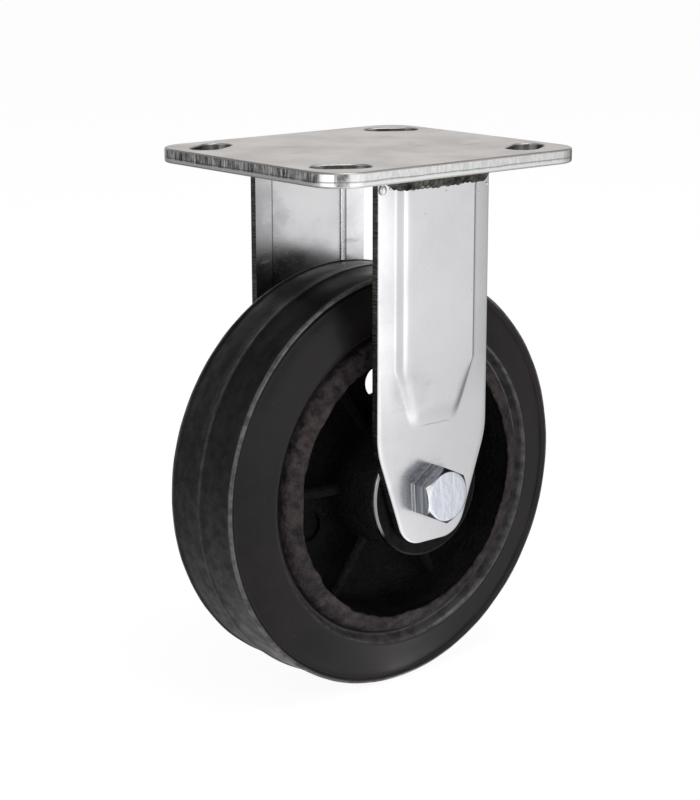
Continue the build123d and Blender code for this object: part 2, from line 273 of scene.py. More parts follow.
class Effects:
    """The shared effects, each a node group that is built once."""

    def __init__(self) -> None:
        """Starts with no group built."""
        self._groups: Dict[str, bpy.types.NodeTree] = {}

    def _group(self, name: str, inputs: Dict[str, Value], outputs: Sequence[str],
               fill: Callable[[bpy.types.NodeTree, bpy.types.Node], Sequence[bpy.types.NodeSocket]],
               ) -> bpy.types.NodeTree:
        """Builds a group the first time it is asked for.

        Args:
            name: the group's name.
            inputs: each input's name and starting value.
            outputs: the outputs' names.
            fill: makes the nodes between and gives back a socket for each output.

        Returns:
            The group's node tree.
        """
        if name not in self._groups:
            tree = bpy.data.node_groups.new(name, "ShaderNodeTree")
            for key, start in inputs.items():
                kind = "NodeSocketFloat" if isinstance(start, (int, float)) else "NodeSocketVector"
                socket = tree.interface.new_socket(key, in_out="INPUT", socket_type=kind)
                socket.default_value = start
            for key in outputs:
                tree.interface.new_socket(key, in_out="OUTPUT", socket_type="NodeSocketFloat")
            results = fill(tree, tree.nodes.new("NodeGroupInput"))
            end = tree.nodes.new("NodeGroupOutput")
            for key, result in zip(outputs, results):
                tree.links.new(result, end.inputs[key])
            self._groups[name] = tree
        return self._groups[name]

    def grain(self, tree: bpy.types.NodeTree, place: Value, per_metre: float, low: float, high: float,
              detail: float = 4.0, stretch: Sequence[float] = (1.0, 1.0, 1.0)) -> bpy.types.NodeSocket:
        """Uneven grain, drawn out along an axis where it is asked for.

        Args:
            tree: the material's tree.
            place: the coordinates that it follows.
            per_metre: how fine it is.
            low: the lowest value.
            high: the highest value.
            detail: how many finer layers it has.
            stretch: a factor on each axis, small where the grain is long.

        Returns:
            The grain's socket.
        """
        def fill(inside: bpy.types.NodeTree, start: bpy.types.Node) -> Sequence[bpy.types.NodeSocket]:
            """Draws the grain out and spreads it over its range."""
            given = start.outputs
            drawn = add_node(inside, "ShaderNodeVectorMath", {0: given["Place"], 1: given["Stretch"]},
                             operation="MULTIPLY")
            cloud = add_node(inside, "ShaderNodeTexNoise", {
                "Vector": drawn.outputs[0], "Scale": given["Per metre"], "Detail": given["Detail"],
                "Roughness": 0.6})
            return [ramp(inside, cloud.outputs[0], 0.3, 0.7, given["Low"], given["High"])]

        starts = {"Place": (0, 0, 0), "Stretch": (1, 1, 1), "Per metre": 100.0, "Detail": 4.0, "Low": 0.0,
                  "High": 1.0}
        group = self._group("uneven grain", starts, ["Grain"], fill)
        spots = {"Place": place, "Stretch": tuple(stretch), "Per metre": per_metre, "Detail": detail,
                 "Low": low, "High": high}
        return add_node(tree, "ShaderNodeGroup", spots, node_tree=group).outputs["Grain"]

    def specks(self, tree: bpy.types.NodeTree, place: Value, per_metre: float, size: float,
               share: float) -> bpy.types.NodeSocket:
        """Scattered small spots, such as pits, dust or spatter.

        Args:
            tree: the material's tree.
            place: the coordinates that they follow.
            per_metre: how close together they may be.
            size: how large a spot is in its cell.
            share: the share of the cells that have one.

        Returns:
            A mask's socket, 1 in a spot.
        """
        def fill(inside: bpy.types.NodeTree, start: bpy.types.Node) -> Sequence[bpy.types.NodeSocket]:
            """Picks some of a pattern's cells and fades a spot in each."""
            cells = add_node(inside, "ShaderNodeTexVoronoi", {
                "Vector": start.outputs["Place"], "Scale": start.outputs["Per metre"]})
            near = ramp(inside, cells.outputs["Distance"], start.outputs["Size"], 0.0)
            pick = add_node(inside, "ShaderNodeSeparateColor", {0: cells.outputs["Color"]})
            chosen = maths(inside, "LESS_THAN", pick.outputs[0], start.outputs["Share"])
            return [maths(inside, "MULTIPLY", near, chosen)]

        starts = {"Place": (0, 0, 0), "Per metre": 500.0, "Size": 0.3, "Share": 0.2}
        group = self._group("scattered specks", starts, ["Mask"], fill)
        spots = {"Place": place, "Per metre": per_metre, "Size": size, "Share": share}
        return add_node(tree, "ShaderNodeGroup", spots, node_tree=group).outputs["Mask"]

    def wheel_place(self, tree: bpy.types.NodeTree, place: Value) -> Dict[str, bpy.types.NodeSocket]:
        """Where a point lies on the wheel: its radius, its way out from the middle, and its turn.

        Args:
            tree: the material's tree.
            place: the object's coordinates.

        Returns:
            The sockets of Radius, Side and Turn.
        """
        def fill(inside: bpy.types.NodeTree, start: bpy.types.Node) -> Sequence[bpy.types.NodeSocket]:
            """Turns a place into its radius, its side and its turn."""
            split = add_node(inside, "ShaderNodeSeparateXYZ", {0: start.outputs["Place"]})
            height = maths(inside, "ADD", split.outputs[2], AXLE_DEPTH)
            square = maths(inside, "ADD", maths(inside, "MULTIPLY", split.outputs[0], split.outputs[0]),
                           maths(inside, "MULTIPLY", height, height))
            return [maths(inside, "SQRT", square), maths(inside, "ABSOLUTE", split.outputs[1]),
                    maths(inside, "ARCTAN2", height, split.outputs[0])]

        group = self._group("wheel place", {"Place": (0, 0, 0)}, ["Radius", "Side", "Turn"], fill)
        node = add_node(tree, "ShaderNodeGroup", {"Place": place}, node_tree=group)
        return {name: node.outputs[name] for name in ("Radius", "Side", "Turn")}

    def room(self, tree: bpy.types.NodeTree, way: Value,
             floor_walls: Room) -> Dict[str, bpy.types.NodeSocket]:
        """How bright the studio is in a direction, on its floor and on its walls.

        Args:
            tree: the tree of the floor's or the world's material.
            way: the direction to look in.
            floor_walls: the levels all the way round.

        Returns:
            The sockets of Floor and Walls.
        """
        def fill(inside: bpy.types.NodeTree, start: bpy.types.Node) -> Sequence[bpy.types.NodeSocket]:
            """Looks a direction up in the floor's and the walls' levels."""
            split = add_node(inside, "ShaderNodeSeparateXYZ", {0: start.outputs["Way"]})
            turn = maths(inside, "ARCTAN2", split.outputs[1], split.outputs[0])
            share = maths(inside, "ADD", maths(inside, "DIVIDE", turn, 2 * math.pi), 0.5)
            results = []
            for levels in (floor_walls.floor_levels, floor_walls.wall_levels):
                band = add_node(inside, "ShaderNodeValToRGB", {0: share})
                stops = band.color_ramp.elements
                while len(stops) < len(levels):
                    stops.new(0.5)
                for stop, (angle, level) in zip(stops, levels):
                    stop.position = angle / 360 + 0.5
                    stop.color = (*[level / floor_walls.top_level] * 3, 1.0)
                results.append(maths(inside, "MULTIPLY", band.outputs[0], floor_walls.top_level))
            return results

        group = self._group("round the room", {"Way": (0, 0, 0)}, ["Floor", "Walls"], fill)
        node = add_node(tree, "ShaderNodeGroup", {"Way": way}, node_tree=group)
        return {name: node.outputs[name] for name in ("Floor", "Walls")}


EFFECTS = Effects()


class Skin(NamedTuple):
    """A finish on its way to the shader: its colour, its roughness and its height."""

    colour: Value
    rough: Value
    height: Value


class MaterialNet:
    """A material's node tree, with the sums, ramps, grains and spots that its masks are made of."""

    def __init__(self, name: str) -> None:
        """Starts a material with its shader and the coordinates that its patterns follow.

        Args:
            name: the material's name.
        """
        self.material = bpy.data.materials.new(name)
        self.material.use_nodes = True
        self.tree = self.material.node_tree
        self.tree.nodes.clear()
        self.shader = self.tree.nodes.new("ShaderNodeBsdfPrincipled")
        output = self.tree.nodes.new("ShaderNodeOutputMaterial")
        self.tree.links.new(self.shader.outputs[0], output.inputs["Surface"])
        coordinates = self.tree.nodes.new("ShaderNodeTexCoord").outputs
        self.place = coordinates["Object"]
        self.spot = add_node(self.tree, "ShaderNodeSeparateXYZ", {0: self.place}).outputs
        self.facing = add_node(self.tree, "ShaderNodeSeparateXYZ", {0: coordinates["Normal"]}).outputs

    def _chain(self, operation: str, values: Sequence[Value]) -> Value:
        """Puts any number of terms through a sum that takes two at a time."""
        total = values[0]
        for value in values[1:]:
            total = maths(self.tree, operation, total, value)
        return total

    def times(self, *values: Value) -> Value:
        """The product of the values."""
        return self._chain("MULTIPLY", values)

    def plus(self, *values: Value) -> Value:
        """The sum of the values."""
        return self._chain("ADD", values)

    def less(self, *values: Value) -> Value:
        """The first value without the others."""
        return self._chain("SUBTRACT", values)

    def most(self, *values: Value) -> Value:
        """The greatest of the values."""
        return self._chain("MAXIMUM", values)

    def size(self, value: Value) -> Value:
        """A value without its sign."""
        return maths(self.tree, "ABSOLUTE", value)

    def gap(self, value: Value, level: Value) -> Value:
        """How far a value is from a level."""
        return self.size(self.less(value, level))

    def ramp(self, value: Value, start: float, end: float, low: float = 0.0, high: float = 1.0) -> Value:
        """Turns one range of a value smoothly into another, as the function ramp does."""
        return ramp(self.tree, value, start, end, low, high)

    def blend(self, mask: Value, low: Value, high: Value) -> Value:
        """Mixes two colours by a mask, as the function blend does."""
        return blend(self.tree, mask, low, high)

    def grain(self, per_metre: float, low: float = 0.0, high: float = 1.0, detail: float = 4.0,
              stretch: Sequence[float] = (1.0, 1.0, 1.0)) -> Value:
        """Uneven grain that follows the object's coordinates."""
        return EFFECTS.grain(self.tree, self.place, per_metre, low, high, detail, stretch)

    def specks(self, per_metre: float, size: float, share: float) -> Value:
        """Scattered spots that follow the object's coordinates."""
        return EFFECTS.specks(self.tree, self.place, per_metre, size, share)

    def wheel(self) -> Dict[str, bpy.types.NodeSocket]:
        """Where a point lies on the wheel: the sockets of Radius, Side and Turn."""
        return EFFECTS.wheel_place(self.tree, self.place)

    def finish(self, skin: Skin, others: Dict[str, Value], depth: float = 1.0) -> bpy.types.Material:
        """Feeds the shader.

        Args:
            skin: the colour, the roughness and the height.
            others: what the shader's other inputs get.
            depth: what a height of 1 stands for, in metres.

        Returns:
            The finished material.
        """
        bump = add_node(self.tree, "ShaderNodeBump",
                        {"Height": skin.height, "Distance": depth, "Strength": 1.0}).outputs["Normal"]
        inputs = {"Base Color": skin.colour, "Roughness": skin.rough, "Normal": bump, **others}
        for name, value in inputs.items():
            if isinstance(value, bpy.types.NodeSocket):
                self.tree.links.new(value, self.shader.inputs[name])
            else:
                self.shader.inputs[name].default_value = value
        return self.material


class SheetAxis(Enum):
    """The axis that a sheet's faces look along; its cut edges are the faces that look across it."""

    LEG = 1
    PLATE = 2


@dataclass(frozen=True)
class ShearedEdge:
    """The cut edge of a sheet, with tear marks that run through it."""

    axis: SheetAxis
    dark: Colour
    light: Colour
    cut_facing: Tuple[float, float] = (0.30, 0.12)
    along_tear: float = 0.10
    tears_per_metre: float = 1500.0
    patches_per_metre: float = 260.0
    tear_depth: float = 0.16 * MM
    roughening: float = 0.10

    def torn(self, net: MaterialNet) -> Value:
        """How bright the torn steel is.

        Args:
            net: the material that it is for.

        Returns:
            A value from 0 to 1.
        """
        through = [1.0, 1.0, 1.0]
        through[self.axis.value] = self.along_tear
        tears = net.grain(self.tears_per_metre, stretch=through)
        return net.times(tears, net.grain(self.patches_per_metre, 0.35, 1.0))

    def add(self, net: MaterialNet, skin: Skin) -> Skin:
        """Lays the cut edge over a finish.

        Args:
            net: the material.
            skin: the finish of the sheet's faces.

        Returns:
            The finish with the edge.
        """
        mask = net.ramp(net.size(net.facing[self.axis.value]), *self.cut_facing)
        torn = self.torn(net)
        return Skin(net.blend(mask, skin.colour, net.blend(torn, self.dark, self.light)),
                    net.plus(skin.rough, net.times(mask, self.roughening)),
                    net.plus(skin.height, net.times(mask, torn, self.tear_depth)))


@dataclass(frozen=True)
class PlateEdge(ShearedEdge):
    """The plate's edge: smeared along its sides, with painted highlight and painted shade on its corner
    rounds, painted shade on its slot walls, and a lip at its foot painted white as a highlight.
    """

    rolled_depth: float = 3.4 * MM
    rolled_blend: float = 0.35 * MM
    lip_highlight_level: float = 0.72
    step_above: float = 0.25 * MM
    step_width: Tuple[float, float] = (0.05 * MM, 0.30 * MM)
    step_light: float = 0.45
    waver: float = 0.12 * MM
    corner_shade: Colour = (0.05, 0.05, 0.05)
    slots_end: Tuple[float, float] = (55.4 * MM, 49.0 * MM)
    corners_start: float = 97.0 * MM
    slot_shade_level: float = 0.22

    def torn(self, net: MaterialNet) -> Value:
        """How bright the edge's colour is, with its painted highlight and painted shade.

        Args:
            net: the material that it is for.

        Returns:
            A value from 0 to 1.
        """
        across, along = net.size(net.facing[0]), net.size(net.facing[1])
        lean = net.less(across, along)
        smeared = net.grain(900.0, 0.56, 0.72, detail=5.0, stretch=(1.0, 1.0, 0.4))
        torn = net.blend(net.ramp(along, 0.55, 0.85), super().torn(net), smeared)
        # Painted highlight: the half of each corner's round that faces more along X is coloured bright.
        painted_highlight = net.times(net.ramp(lean, 0.02, 0.12), net.ramp(lean, 0.80, 0.60))
        depth = net.plus(net.spot[2], net.grain(90.0, -self.waver, self.waver, detail=3.0))
        step = net.gap(depth, self.step_above - self.rolled_depth)
        torn = net.times(net.most(torn, painted_highlight), net.ramp(step, *self.step_width, self.step_light, 1.0))
        # Painted highlight: the lip along the foot is a real rounding, and its white colour is painted on; a
        # darker line runs just above it.
        white_from = -self.rolled_depth
        lip_highlight = net.ramp(depth, white_from, white_from - self.rolled_blend, 0.0, self.lip_highlight_level)
        # Painted shade: the half of each corner's round that faces more along Y is darkened in patches.
        corner_shade_mask = net.times(net.ramp(lean, -0.55, -0.35), net.ramp(lean, 0.04, -0.04),
                            net.grain(420.0, 0.35, 1.0))
        torn = net.blend(corner_shade_mask, net.most(torn, lip_highlight), self.corner_shade)
        return net.times(torn, self._slot_shade(net))

    def _slot_shade(self, net: MaterialNet) -> Value:
        """Full on the plate's outer edge, and dimmed on the walls of its slots as painted shade in the holes.
        """
        across, along = net.size(net.spot[0]), net.size(net.spot[1])
        past = net.most(net.less(across, self.slots_end[0]), net.less(along, self.slots_end[1]),
                        net.less(net.plus(across, along), self.corners_start))
        return net.ramp(past, 0.0, 0.2 * MM, self.slot_shade_level, 1.0)


@dataclass(frozen=True)
class PressMarks:
    """Marks on a leg: painted shade in a crease under its panel, a scuffed slope, painted shade along the
    bends of its back, and painted shade towards its foot.
    """

    crease_height: float = -93.8 * MM
    crease_width: float = 0.45 * MM
    crease_waver: float = 0.5 * MM
    crease_starts: Tuple[float, float] = (-7 * MM, -3 * MM)
    crease_ends: Tuple[float, float] = (9 * MM, 5 * MM)
    crease_shade: float = 0.30
    scuff_place: Tuple[float, float, float] = (-11.0 * MM, -36.5 * MM, -80.0 * MM)
    scuff_reach: Tuple[float, float] = (12 * MM, 5 * MM)
    scuff_rough: float = 0.30
    scuff_height: float = 0.05 * MM
    bend_across: float = 17.3 * MM
    bend_width: Tuple[float, float] = (0.45 * MM, 0.15 * MM)
    bend_shade_starts: Tuple[float, float] = (-78 * MM, -70 * MM)
    bend_shade_dark: float = 0.75
    # The near-black colour that the painted shade of the crease and the bends blends to.
    soot_and_shade: Colour = (0.05, 0.05, 0.05)
    foot_shade_heights: Tuple[float, float] = (-20 * MM, -130 * MM)
    foot_shade_share: float = 0.17

    def add(self, net: MaterialNet, skin: Skin) -> Skin:
        """Lays the marks over a leg's finish, which is darkened towards its foot as painted shade.

        Args:
            net: the material.
            skin: the plain finish.

        Returns:
            The finish with the marks.
        """
        scuff = self._scuff(net)
        # Painted shade: the colour is darkened towards the foot by up to 17 per cent.
        foot_shade = net.times(net.ramp(net.spot[2], *self.foot_shade_heights), self.foot_shade_share)
        # Painted shade: the crease and the bends of the sheet's back darken towards a near-black colour.
        dark = net.most(net.times(self._crease_shade(net), self.crease_shade), self._bend_shade(net))
        colour = net.blend(dark, net.blend(foot_shade, skin.colour, (0.0, 0.0, 0.0)), self.soot_and_shade)
        speckle = net.times(net.specks(900.0, 0.5, 0.4), scuff, self.scuff_height)
        rough = net.plus(skin.rough, net.times(scuff, self.scuff_rough))
        return Skin(colour, rough, net.plus(skin.height, speckle))

    def _crease_shade(self, net: MaterialNet) -> Value:
        """Painted shade: a short level dark line where the panel ends."""
        waver = net.grain(120.0, -self.crease_waver, self.crease_waver, detail=2.0)
        drop = net.size(net.plus(net.less(net.spot[2], self.crease_height), waver))
        across = net.times(net.ramp(net.spot[0], *self.crease_starts),
                           net.ramp(net.spot[0], *self.crease_ends))
        return net.times(net.ramp(drop, self.crease_width, 0.05 * MM), across)

    def _scuff(self, net: MaterialNet) -> Value:
        """The rubbed patch on the panel's slope."""
        apart = add_node(net.tree, "ShaderNodeVectorMath", {0: net.place, 1: self.scuff_place},
                         operation="DISTANCE")
        return net.ramp(apart.outputs["Value"], *self.scuff_reach)

    def _bend_shade(self, net: MaterialNet) -> Value:
        """Painted shade: a dark line along the bends of the sheet's back."""
        inward = maths(net.tree, "LESS_THAN", net.times(net.facing[1], net.spot[1]), 0.0)
        bend = net.gap(net.size(net.spot[0]), self.bend_across)
        return net.times(net.ramp(bend, *self.bend_width), inward,
                         net.ramp(net.spot[2], *self.bend_shade_starts, 0.0, self.bend_shade_dark))


@dataclass(frozen=True)
class ZincFinish:
    """Bright zinc plate on steel, faintly mottled, pitted and scratched."""

    name: str
    colour: Colour
    stain: Colour
    roughness: Tuple[float, float] = (0.22, 0.34)
    mottle_height: float = 0.006 * MM
    layers: Tuple[Union[ShearedEdge, PressMarks], ...] = ()
    mottle_per_metre: float = 45.0
    pit: Colour = (0.16, 0.15, 0.15)
    pit_share: float = 0.45
    grain_height: float = 0.004 * MM
    scratch_depth: float = 0.006 * MM
    scratch_rough: float = 0.12

    def build(self) -> bpy.types.Material:
        """Builds the material."""
        net = MaterialNet(self.name)
        mottle = net.grain(self.mottle_per_metre, detail=6.0)
        scratch = self._scratches(net)
        pits = net.times(net.specks(330.0, 0.12, 0.10), self.pit_share)
        colour = net.blend(pits, net.blend(mottle, self.colour, self.stain), self.pit)
        rough = net.plus(net.ramp(mottle, 0.0, 1.0, *self.roughness), net.times(scratch, self.scratch_rough))
        height = net.plus(net.times(net.grain(700.0), self.grain_height),
                          net.times(mottle, self.mottle_height), net.times(scratch, -self.scratch_depth))
        skin = Skin(colour, rough, height)
        for layer in self.layers:
            skin = layer.add(net, skin)
        return net.finish(skin, METAL)

    def _scratches(self, net: MaterialNet) -> Value:
        """Faint handling scratches, most of them level."""
        lines = net.grain(420.0, detail=2.0, stretch=(0.06, 1.0, 1.0))
        here = net.grain(38.0, detail=2.0)
        return net.times(net.ramp(lines, 0.80, 0.97), net.ramp(here, 0.55, 0.85))


@dataclass(frozen=True)
class BoltFinish:
    """The bolt's and the nut's zinc: banded flats, a chamfer with painted light on it, a trim seam painted as
    a highlight, and the thread on the bolt's end.
    """

    name: str = "fastener zinc"
    face: Colour = (0.51, 0.525, 0.575)
    flat_dark: Colour = (0.16, 0.17, 0.19)
    flat_light: Colour = (0.46, 0.48, 0.53)
    # Painted highlight colour, used on the chamfer's -X side and on the trim seam.
    painted_highlight: Colour = (0.88, 0.88, 0.86)
    # The chamfer's dark colour: its own cut steel, and painted shade where it faces elsewhere than -X or
    # faces down.
    turned_and_shaded: Colour = (0.035, 0.037, 0.040)
    roughness: Tuple[float, float] = (0.22, 0.36)
    dent_share: float = 0.55
    dent_height: float = 0.07 * MM
    band_height: float = 0.010 * MM
    seam_along: float = -35.9 * MM
    seam_width: Tuple[float, float] = (0.30 * MM, 0.10 * MM)
    thread_starts: Tuple[float, float] = (52.8 * MM, 53.0 * MM)
    thread_pitch: float = 1.75 * MM
    thread_height: float = 1.2 * MM

    def build(self) -> bpy.types.Material:
        """Builds the material."""
        net = MaterialNet(self.name)
        along = net.size(net.facing[1])
        dents = net.grain(420.0, stretch=(1.0, 1.0, 0.6))
        bands = net.grain(900.0, stretch=(0.04, 0.6, 0.04))
        face = net.blend(net.times(dents, self.dent_share), self.face, self.flat_light)
        flats = net.blend(self._seam_highlight(net), net.blend(bands, self.flat_dark, self.flat_light), self.painted_highlight)
        colour = net.blend(net.ramp(along, 0.30, 0.50), flats, face)
        cone = net.times(net.ramp(along, 0.50, 0.60), net.ramp(along, 0.96, 0.90))
        # Painted light on the chamfer: bright where it faces -X, painted shade where it faces elsewhere or
        # downwards.
        shaded_side = net.most(net.ramp(net.facing[0], -0.50, -0.25), net.ramp(net.facing[2], -0.22, -0.34))
        colour = net.blend(cone, colour, net.blend(shaded_side, self.painted_highlight, self.turned_and_shaded))
        rough = net.ramp(net.grain(300.0, detail=5.0), 0.0, 1.0, *self.roughness)
        height = net.plus(net.times(dents, self.dent_height), net.times(bands, self.band_height),
                          self._thread(net))
        return net.finish(Skin(colour, rough, height), METAL)

    def _seam_highlight(self, net: MaterialNet) -> Value:
        """A painted highlight: the trim line round the head is coloured near-white, only on flats that do not
        face up.
        """
        line = net.ramp(net.gap(net.spot[1], self.seam_along), *self.seam_width)
        return net.times(line, net.ramp(net.facing[2], 0.4, 0.2))

    def _thread(self, net: MaterialNet) -> Value:
        """The height of the thread on the axle bolt's end, a helix about the axle."""
        along = maths(net.tree, "DIVIDE", net.spot[1], self.thread_pitch)
        turn = maths(net.tree, "DIVIDE", net.wheel()["Turn"], 2 * math.pi)
        wave = maths(net.tree, "PINGPONG", net.plus(along, turn), 0.5)
        return net.times(wave, net.ramp(net.spot[1], *self.thread_starts), self.thread_height)


@dataclass(frozen=True)
class WeldFinish:
    """A weld bead, sooty and dark with scale, and bright where it was brushed."""

    name: str = "weld bead"
    scale: Colour = (0.11, 0.108, 0.10)
    soot_and_shade: Colour = (0.012, 0.012, 0.010)
    brushed: Colour = (0.72, 0.71, 0.68)
    roughness: Tuple[float, float] = (0.30, 0.6)
    depth: float = 0.25 * MM

    def build(self) -> bpy.types.Material:
        """Builds the material."""
        net = MaterialNet(self.name)
        sooty = net.grain(300.0, detail=5.0)
        bright = net.specks(420.0, 0.42, 0.16)
        colour = net.blend(bright, net.blend(sooty, self.scale, self.soot_and_shade), self.brushed)
        skin = Skin(colour, net.ramp(sooty, 0.0, 1.0, *self.roughness), net.plus(sooty, net.grain(900.0)))
        return net.finish(skin, {"Metallic": 0.9}, self.depth)


@dataclass(frozen=True)
class RubberFinish:
    """Moulded black rubber: matt tread, painted highlight on its crests and groove walls, and a torn skin
    over the rim's edge.
    """

    name: str = "moulded rubber"
    side_dark: Colour = (0.0050, 0.0047, 0.0049)
    side_light: Colour = (0.0155, 0.0150, 0.0148)
    side_pink: Colour = (0.022, 0.0150, 0.0165)
    tread_dark: Colour = (0.0012, 0.0012, 0.0012)
    tread_light: Colour = (0.0050, 0.0047, 0.0046)
    torn_dark: Colour = (0.008, 0.007, 0.0075)
    torn_light: Colour = (0.066, 0.050, 0.052)
    wear_and_painted_highlight: Colour = (0.105, 0.101, 0.099)
    dirt: Colour = (0.12, 0.10, 0.09)
    dirt_share: float = 0.30
    skin_blend: Tuple[float, float] = (55.9 * MM, 55.1 * MM)
    tread_blend: Tuple[float, float] = (16.0 * MM, 15.2 * MM)
    ridge_half: Tuple[float, float] = (0.9 * MM, 0.3 * MM)
    ridge_share: float = 0.35
    bead_sides: Tuple[float, float] = (15.7 * MM, 16.0 * MM)
    bead_radii: Tuple[float, float] = (74.2 * MM, 74.9 * MM)
    crest_radii: Tuple[float, float] = (73.0 * MM, 74.0 * MM)
    wall_starts: Tuple[float, float] = (56.2 * MM, 57.0 * MM)
    wall_ends: Tuple[float, float] = (59.4 * MM, 58.8 * MM)
    wall_share: float = 0.80
    roughness: Tuple[float, float] = (0.40, 0.55)
    skin_rough: float = 0.08
    fine_height: float = 0.010 * MM
    smear_height: float = 0.06 * MM
    lump_height: float = 0.55 * MM

    def build(self) -> bpy.types.Material:
        """Builds the material."""
        net = MaterialNet(self.name)
        wheel = net.wheel()
        skin = net.ramp(wheel["Radius"], *self.skin_blend)
        tread = net.ramp(wheel["Side"], *self.tread_blend)
        smear = net.grain(40.0, detail=6.0)
        dust = net.grain(240.0, detail=6.0)
        wear_and_painted_highlight = self._painted_highlight_mask(net, wheel, dust)
        rough = net.plus(net.ramp(smear, 0.0, 1.0, *self.roughness), net.times(skin, self.skin_rough))
        height = net.plus(net.times(net.grain(1300.0, detail=3.0), self.fine_height),
                          net.times(smear, self.smear_height),
                          net.times(skin, net.grain(420.0, detail=5.0), self.lump_height))
        fibres = net.grain(260.0, 0.10, 0.55, detail=5.0, stretch=(0.25, 1.0, 1.0))
        shine = {"Coat Weight": net.most(net.times(tread, fibres), wear_and_painted_highlight), "Coat Roughness": 0.24,
                 "Specular IOR Level": 0.19}
        return net.finish(Skin(self._colour(net, skin, tread, wear_and_painted_highlight, smear, dust), rough, height), shine)

    def _colour(self, net: MaterialNet, skin: Value, tread: Value, wear_and_painted_highlight: Value, smear: Value,
                dust: Value) -> Value:
        """The rubber's colour: tread, sidewall, torn skin, painted highlight on the crests, and dirt."""
        tint = net.grain(22.0, detail=3.0)
        side = net.blend(smear, self.side_dark, net.blend(tint, self.side_light, self.side_pink))
        colour = net.blend(tread, side, net.blend(smear, self.tread_dark, self.tread_light))
        colour = net.blend(skin, colour, net.blend(dust, self.torn_dark, self.torn_light))
        # Painted highlight: the masked crests and groove wall are coloured a lighter grey.
        colour = net.blend(wear_and_painted_highlight, colour, self.wear_and_painted_highlight)
        dirty = net.times(net.specks(380.0, 0.15, 0.14), self.dirt_share)
        return net.blend(dirty, colour, self.dirt)

    def _painted_highlight_mask(self, net: MaterialNet, wheel: Dict[str, bpy.types.NodeSocket], dust: Value) -> Value:
        """A mask of painted highlight, also given a coat: the parting ridge, the shoulder beads and the
        groove's outer wall.
        """
        ridge = net.times(net.ramp(wheel["Side"], *self.ridge_half), self.ridge_share)
        bead = net.times(net.ramp(wheel["Side"], *self.bead_sides),
                         net.ramp(wheel["Radius"], *self.bead_radii))
        crest = net.times(net.most(ridge, bead), net.ramp(wheel["Radius"], *self.crest_radii))
        wall = net.times(net.ramp(wheel["Radius"], *self.wall_starts),
                         net.ramp(wheel["Radius"], *self.wall_ends), self.wall_share)
        return net.times(net.most(crest, wall), net.ramp(dust, 0.0, 0.8, 0.35, 0.9))


@dataclass(frozen=True)
class IronFinish:
    """Cast iron, painted black over a coarse sand-cast skin."""

    name: str = "black cast iron"
    dark: Colour = (0.0022, 0.0022, 0.0022)
    light: Colour = (0.0070, 0.0066, 0.0064)
    roughness: Tuple[float, float] = (0.5, 0.75)
    pit_depth: float = 0.7
    depth: float = 0.35 * MM

    def build(self) -> bpy.types.Material:
        """Builds the material."""
        net = MaterialNet(self.name)
        sand = net.grain(700.0, detail=5.0)
        skin = Skin(net.blend(net.grain(120.0, detail=6.0), self.dark, self.light),
                    net.ramp(sand, 0.0, 1.0, *self.roughness),
                    net.plus(sand, net.times(net.specks(500.0, 0.5, 0.5), -self.pit_depth)))
        return net.finish(skin, {"Specular IOR Level": 0.12}, self.depth)


@dataclass(frozen=True)
class WasherFinish:
    """Blackened steel whose rounded rim has worn bright on one side."""

    # Blackened steel, with a painted highlight on one side of its rounded rim.
    name: str = "blackened steel"
    dark: Colour = (0.003, 0.003, 0.003)
    light: Colour = (0.007, 0.007, 0.007)
    wear_and_painted_highlight: Colour = (0.26, 0.26, 0.25)
    rim_radii: Tuple[float, float] = (23.1 * MM, 23.4 * MM)
    highlight_across: Tuple[float, float] = (-19 * MM, -22 * MM)
    roughness: Tuple[float, float] = (0.30, 0.42)
    depth: float = 0.03 * MM

    def build(self) -> bpy.types.Material:
        """Builds the material."""
        net = MaterialNet(self.name)
        grain = net.grain(400.0, detail=5.0)
        # Painted highlight: the rounded rim is coloured bright only on its -X side.
        rim = net.ramp(net.wheel()["Radius"], *self.rim_radii)
        rim = net.times(rim, net.ramp(net.spot[0], *self.highlight_across))
        colour = net.blend(rim, net.blend(grain, self.dark, self.light), self.wear_and_painted_highlight)
        return net.finish(Skin(colour, net.ramp(grain, 0.0, 1.0, *self.roughness), grain), METAL, self.depth)


@dataclass(frozen=True)
class PlainFinish:
    """A small part's finish: its own colour with a fine grain."""

    name: str
    colour: Colour
    wear_and_painted_highlight: Colour
    roughness: float = 0.4
    metallic: float = 1.0
    rough_spread: float = 0.08
    depth: float = 0.03 * MM

    def build(self) -> bpy.types.Material:
        """Builds the material."""
        net = MaterialNet(self.name)
        grain = net.grain(500.0)
        low, high = self.roughness - self.rough_spread, self.roughness + self.rough_spread
        skin = Skin(net.blend(grain, self.colour, self.wear_and_painted_highlight), net.ramp(grain, 0.0, 1.0, low, high), grain)
        return net.finish(skin, {"Metallic": self.metallic}, self.depth)


PLATE_ZINC = ZincFinish(
    "plate zinc", (0.610, 0.572, 0.550), (0.585, 0.548, 0.527), roughness=(0.36, 0.42),
    mottle_height=0.004 * MM,
    layers=(PlateEdge(SheetAxis.PLATE, (0.06, 0.06, 0.06), (0.92, 0.93, 0.92)),),
)
LEG_ZINC = ZincFinish(
    "leg zinc", (0.62, 0.62, 0.63), (0.58, 0.58, 0.60),
    layers=(PressMarks(), ShearedEdge(SheetAxis.LEG, (0.03, 0.03, 0.03), (0.22, 0.22, 0.22))),
)
NYLON = PlainFinish("nylon", (0.75, 0.72, 0.62), (0.66, 0.63, 0.54), 0.45, 0.0)
BEARING_STEEL = PlainFinish("bearing steel", (0.52, 0.52, 0.53), (0.42, 0.42, 0.43), 0.28)
CAGE_STEEL = PlainFinish("cage steel", (0.30, 0.29, 0.28), (0.22, 0.21, 0.20), 0.42)
NIPPLE_ZINC = PlainFinish("nipple zinc", (0.62, 0.56, 0.40), (0.50, 0.46, 0.34), 0.34)


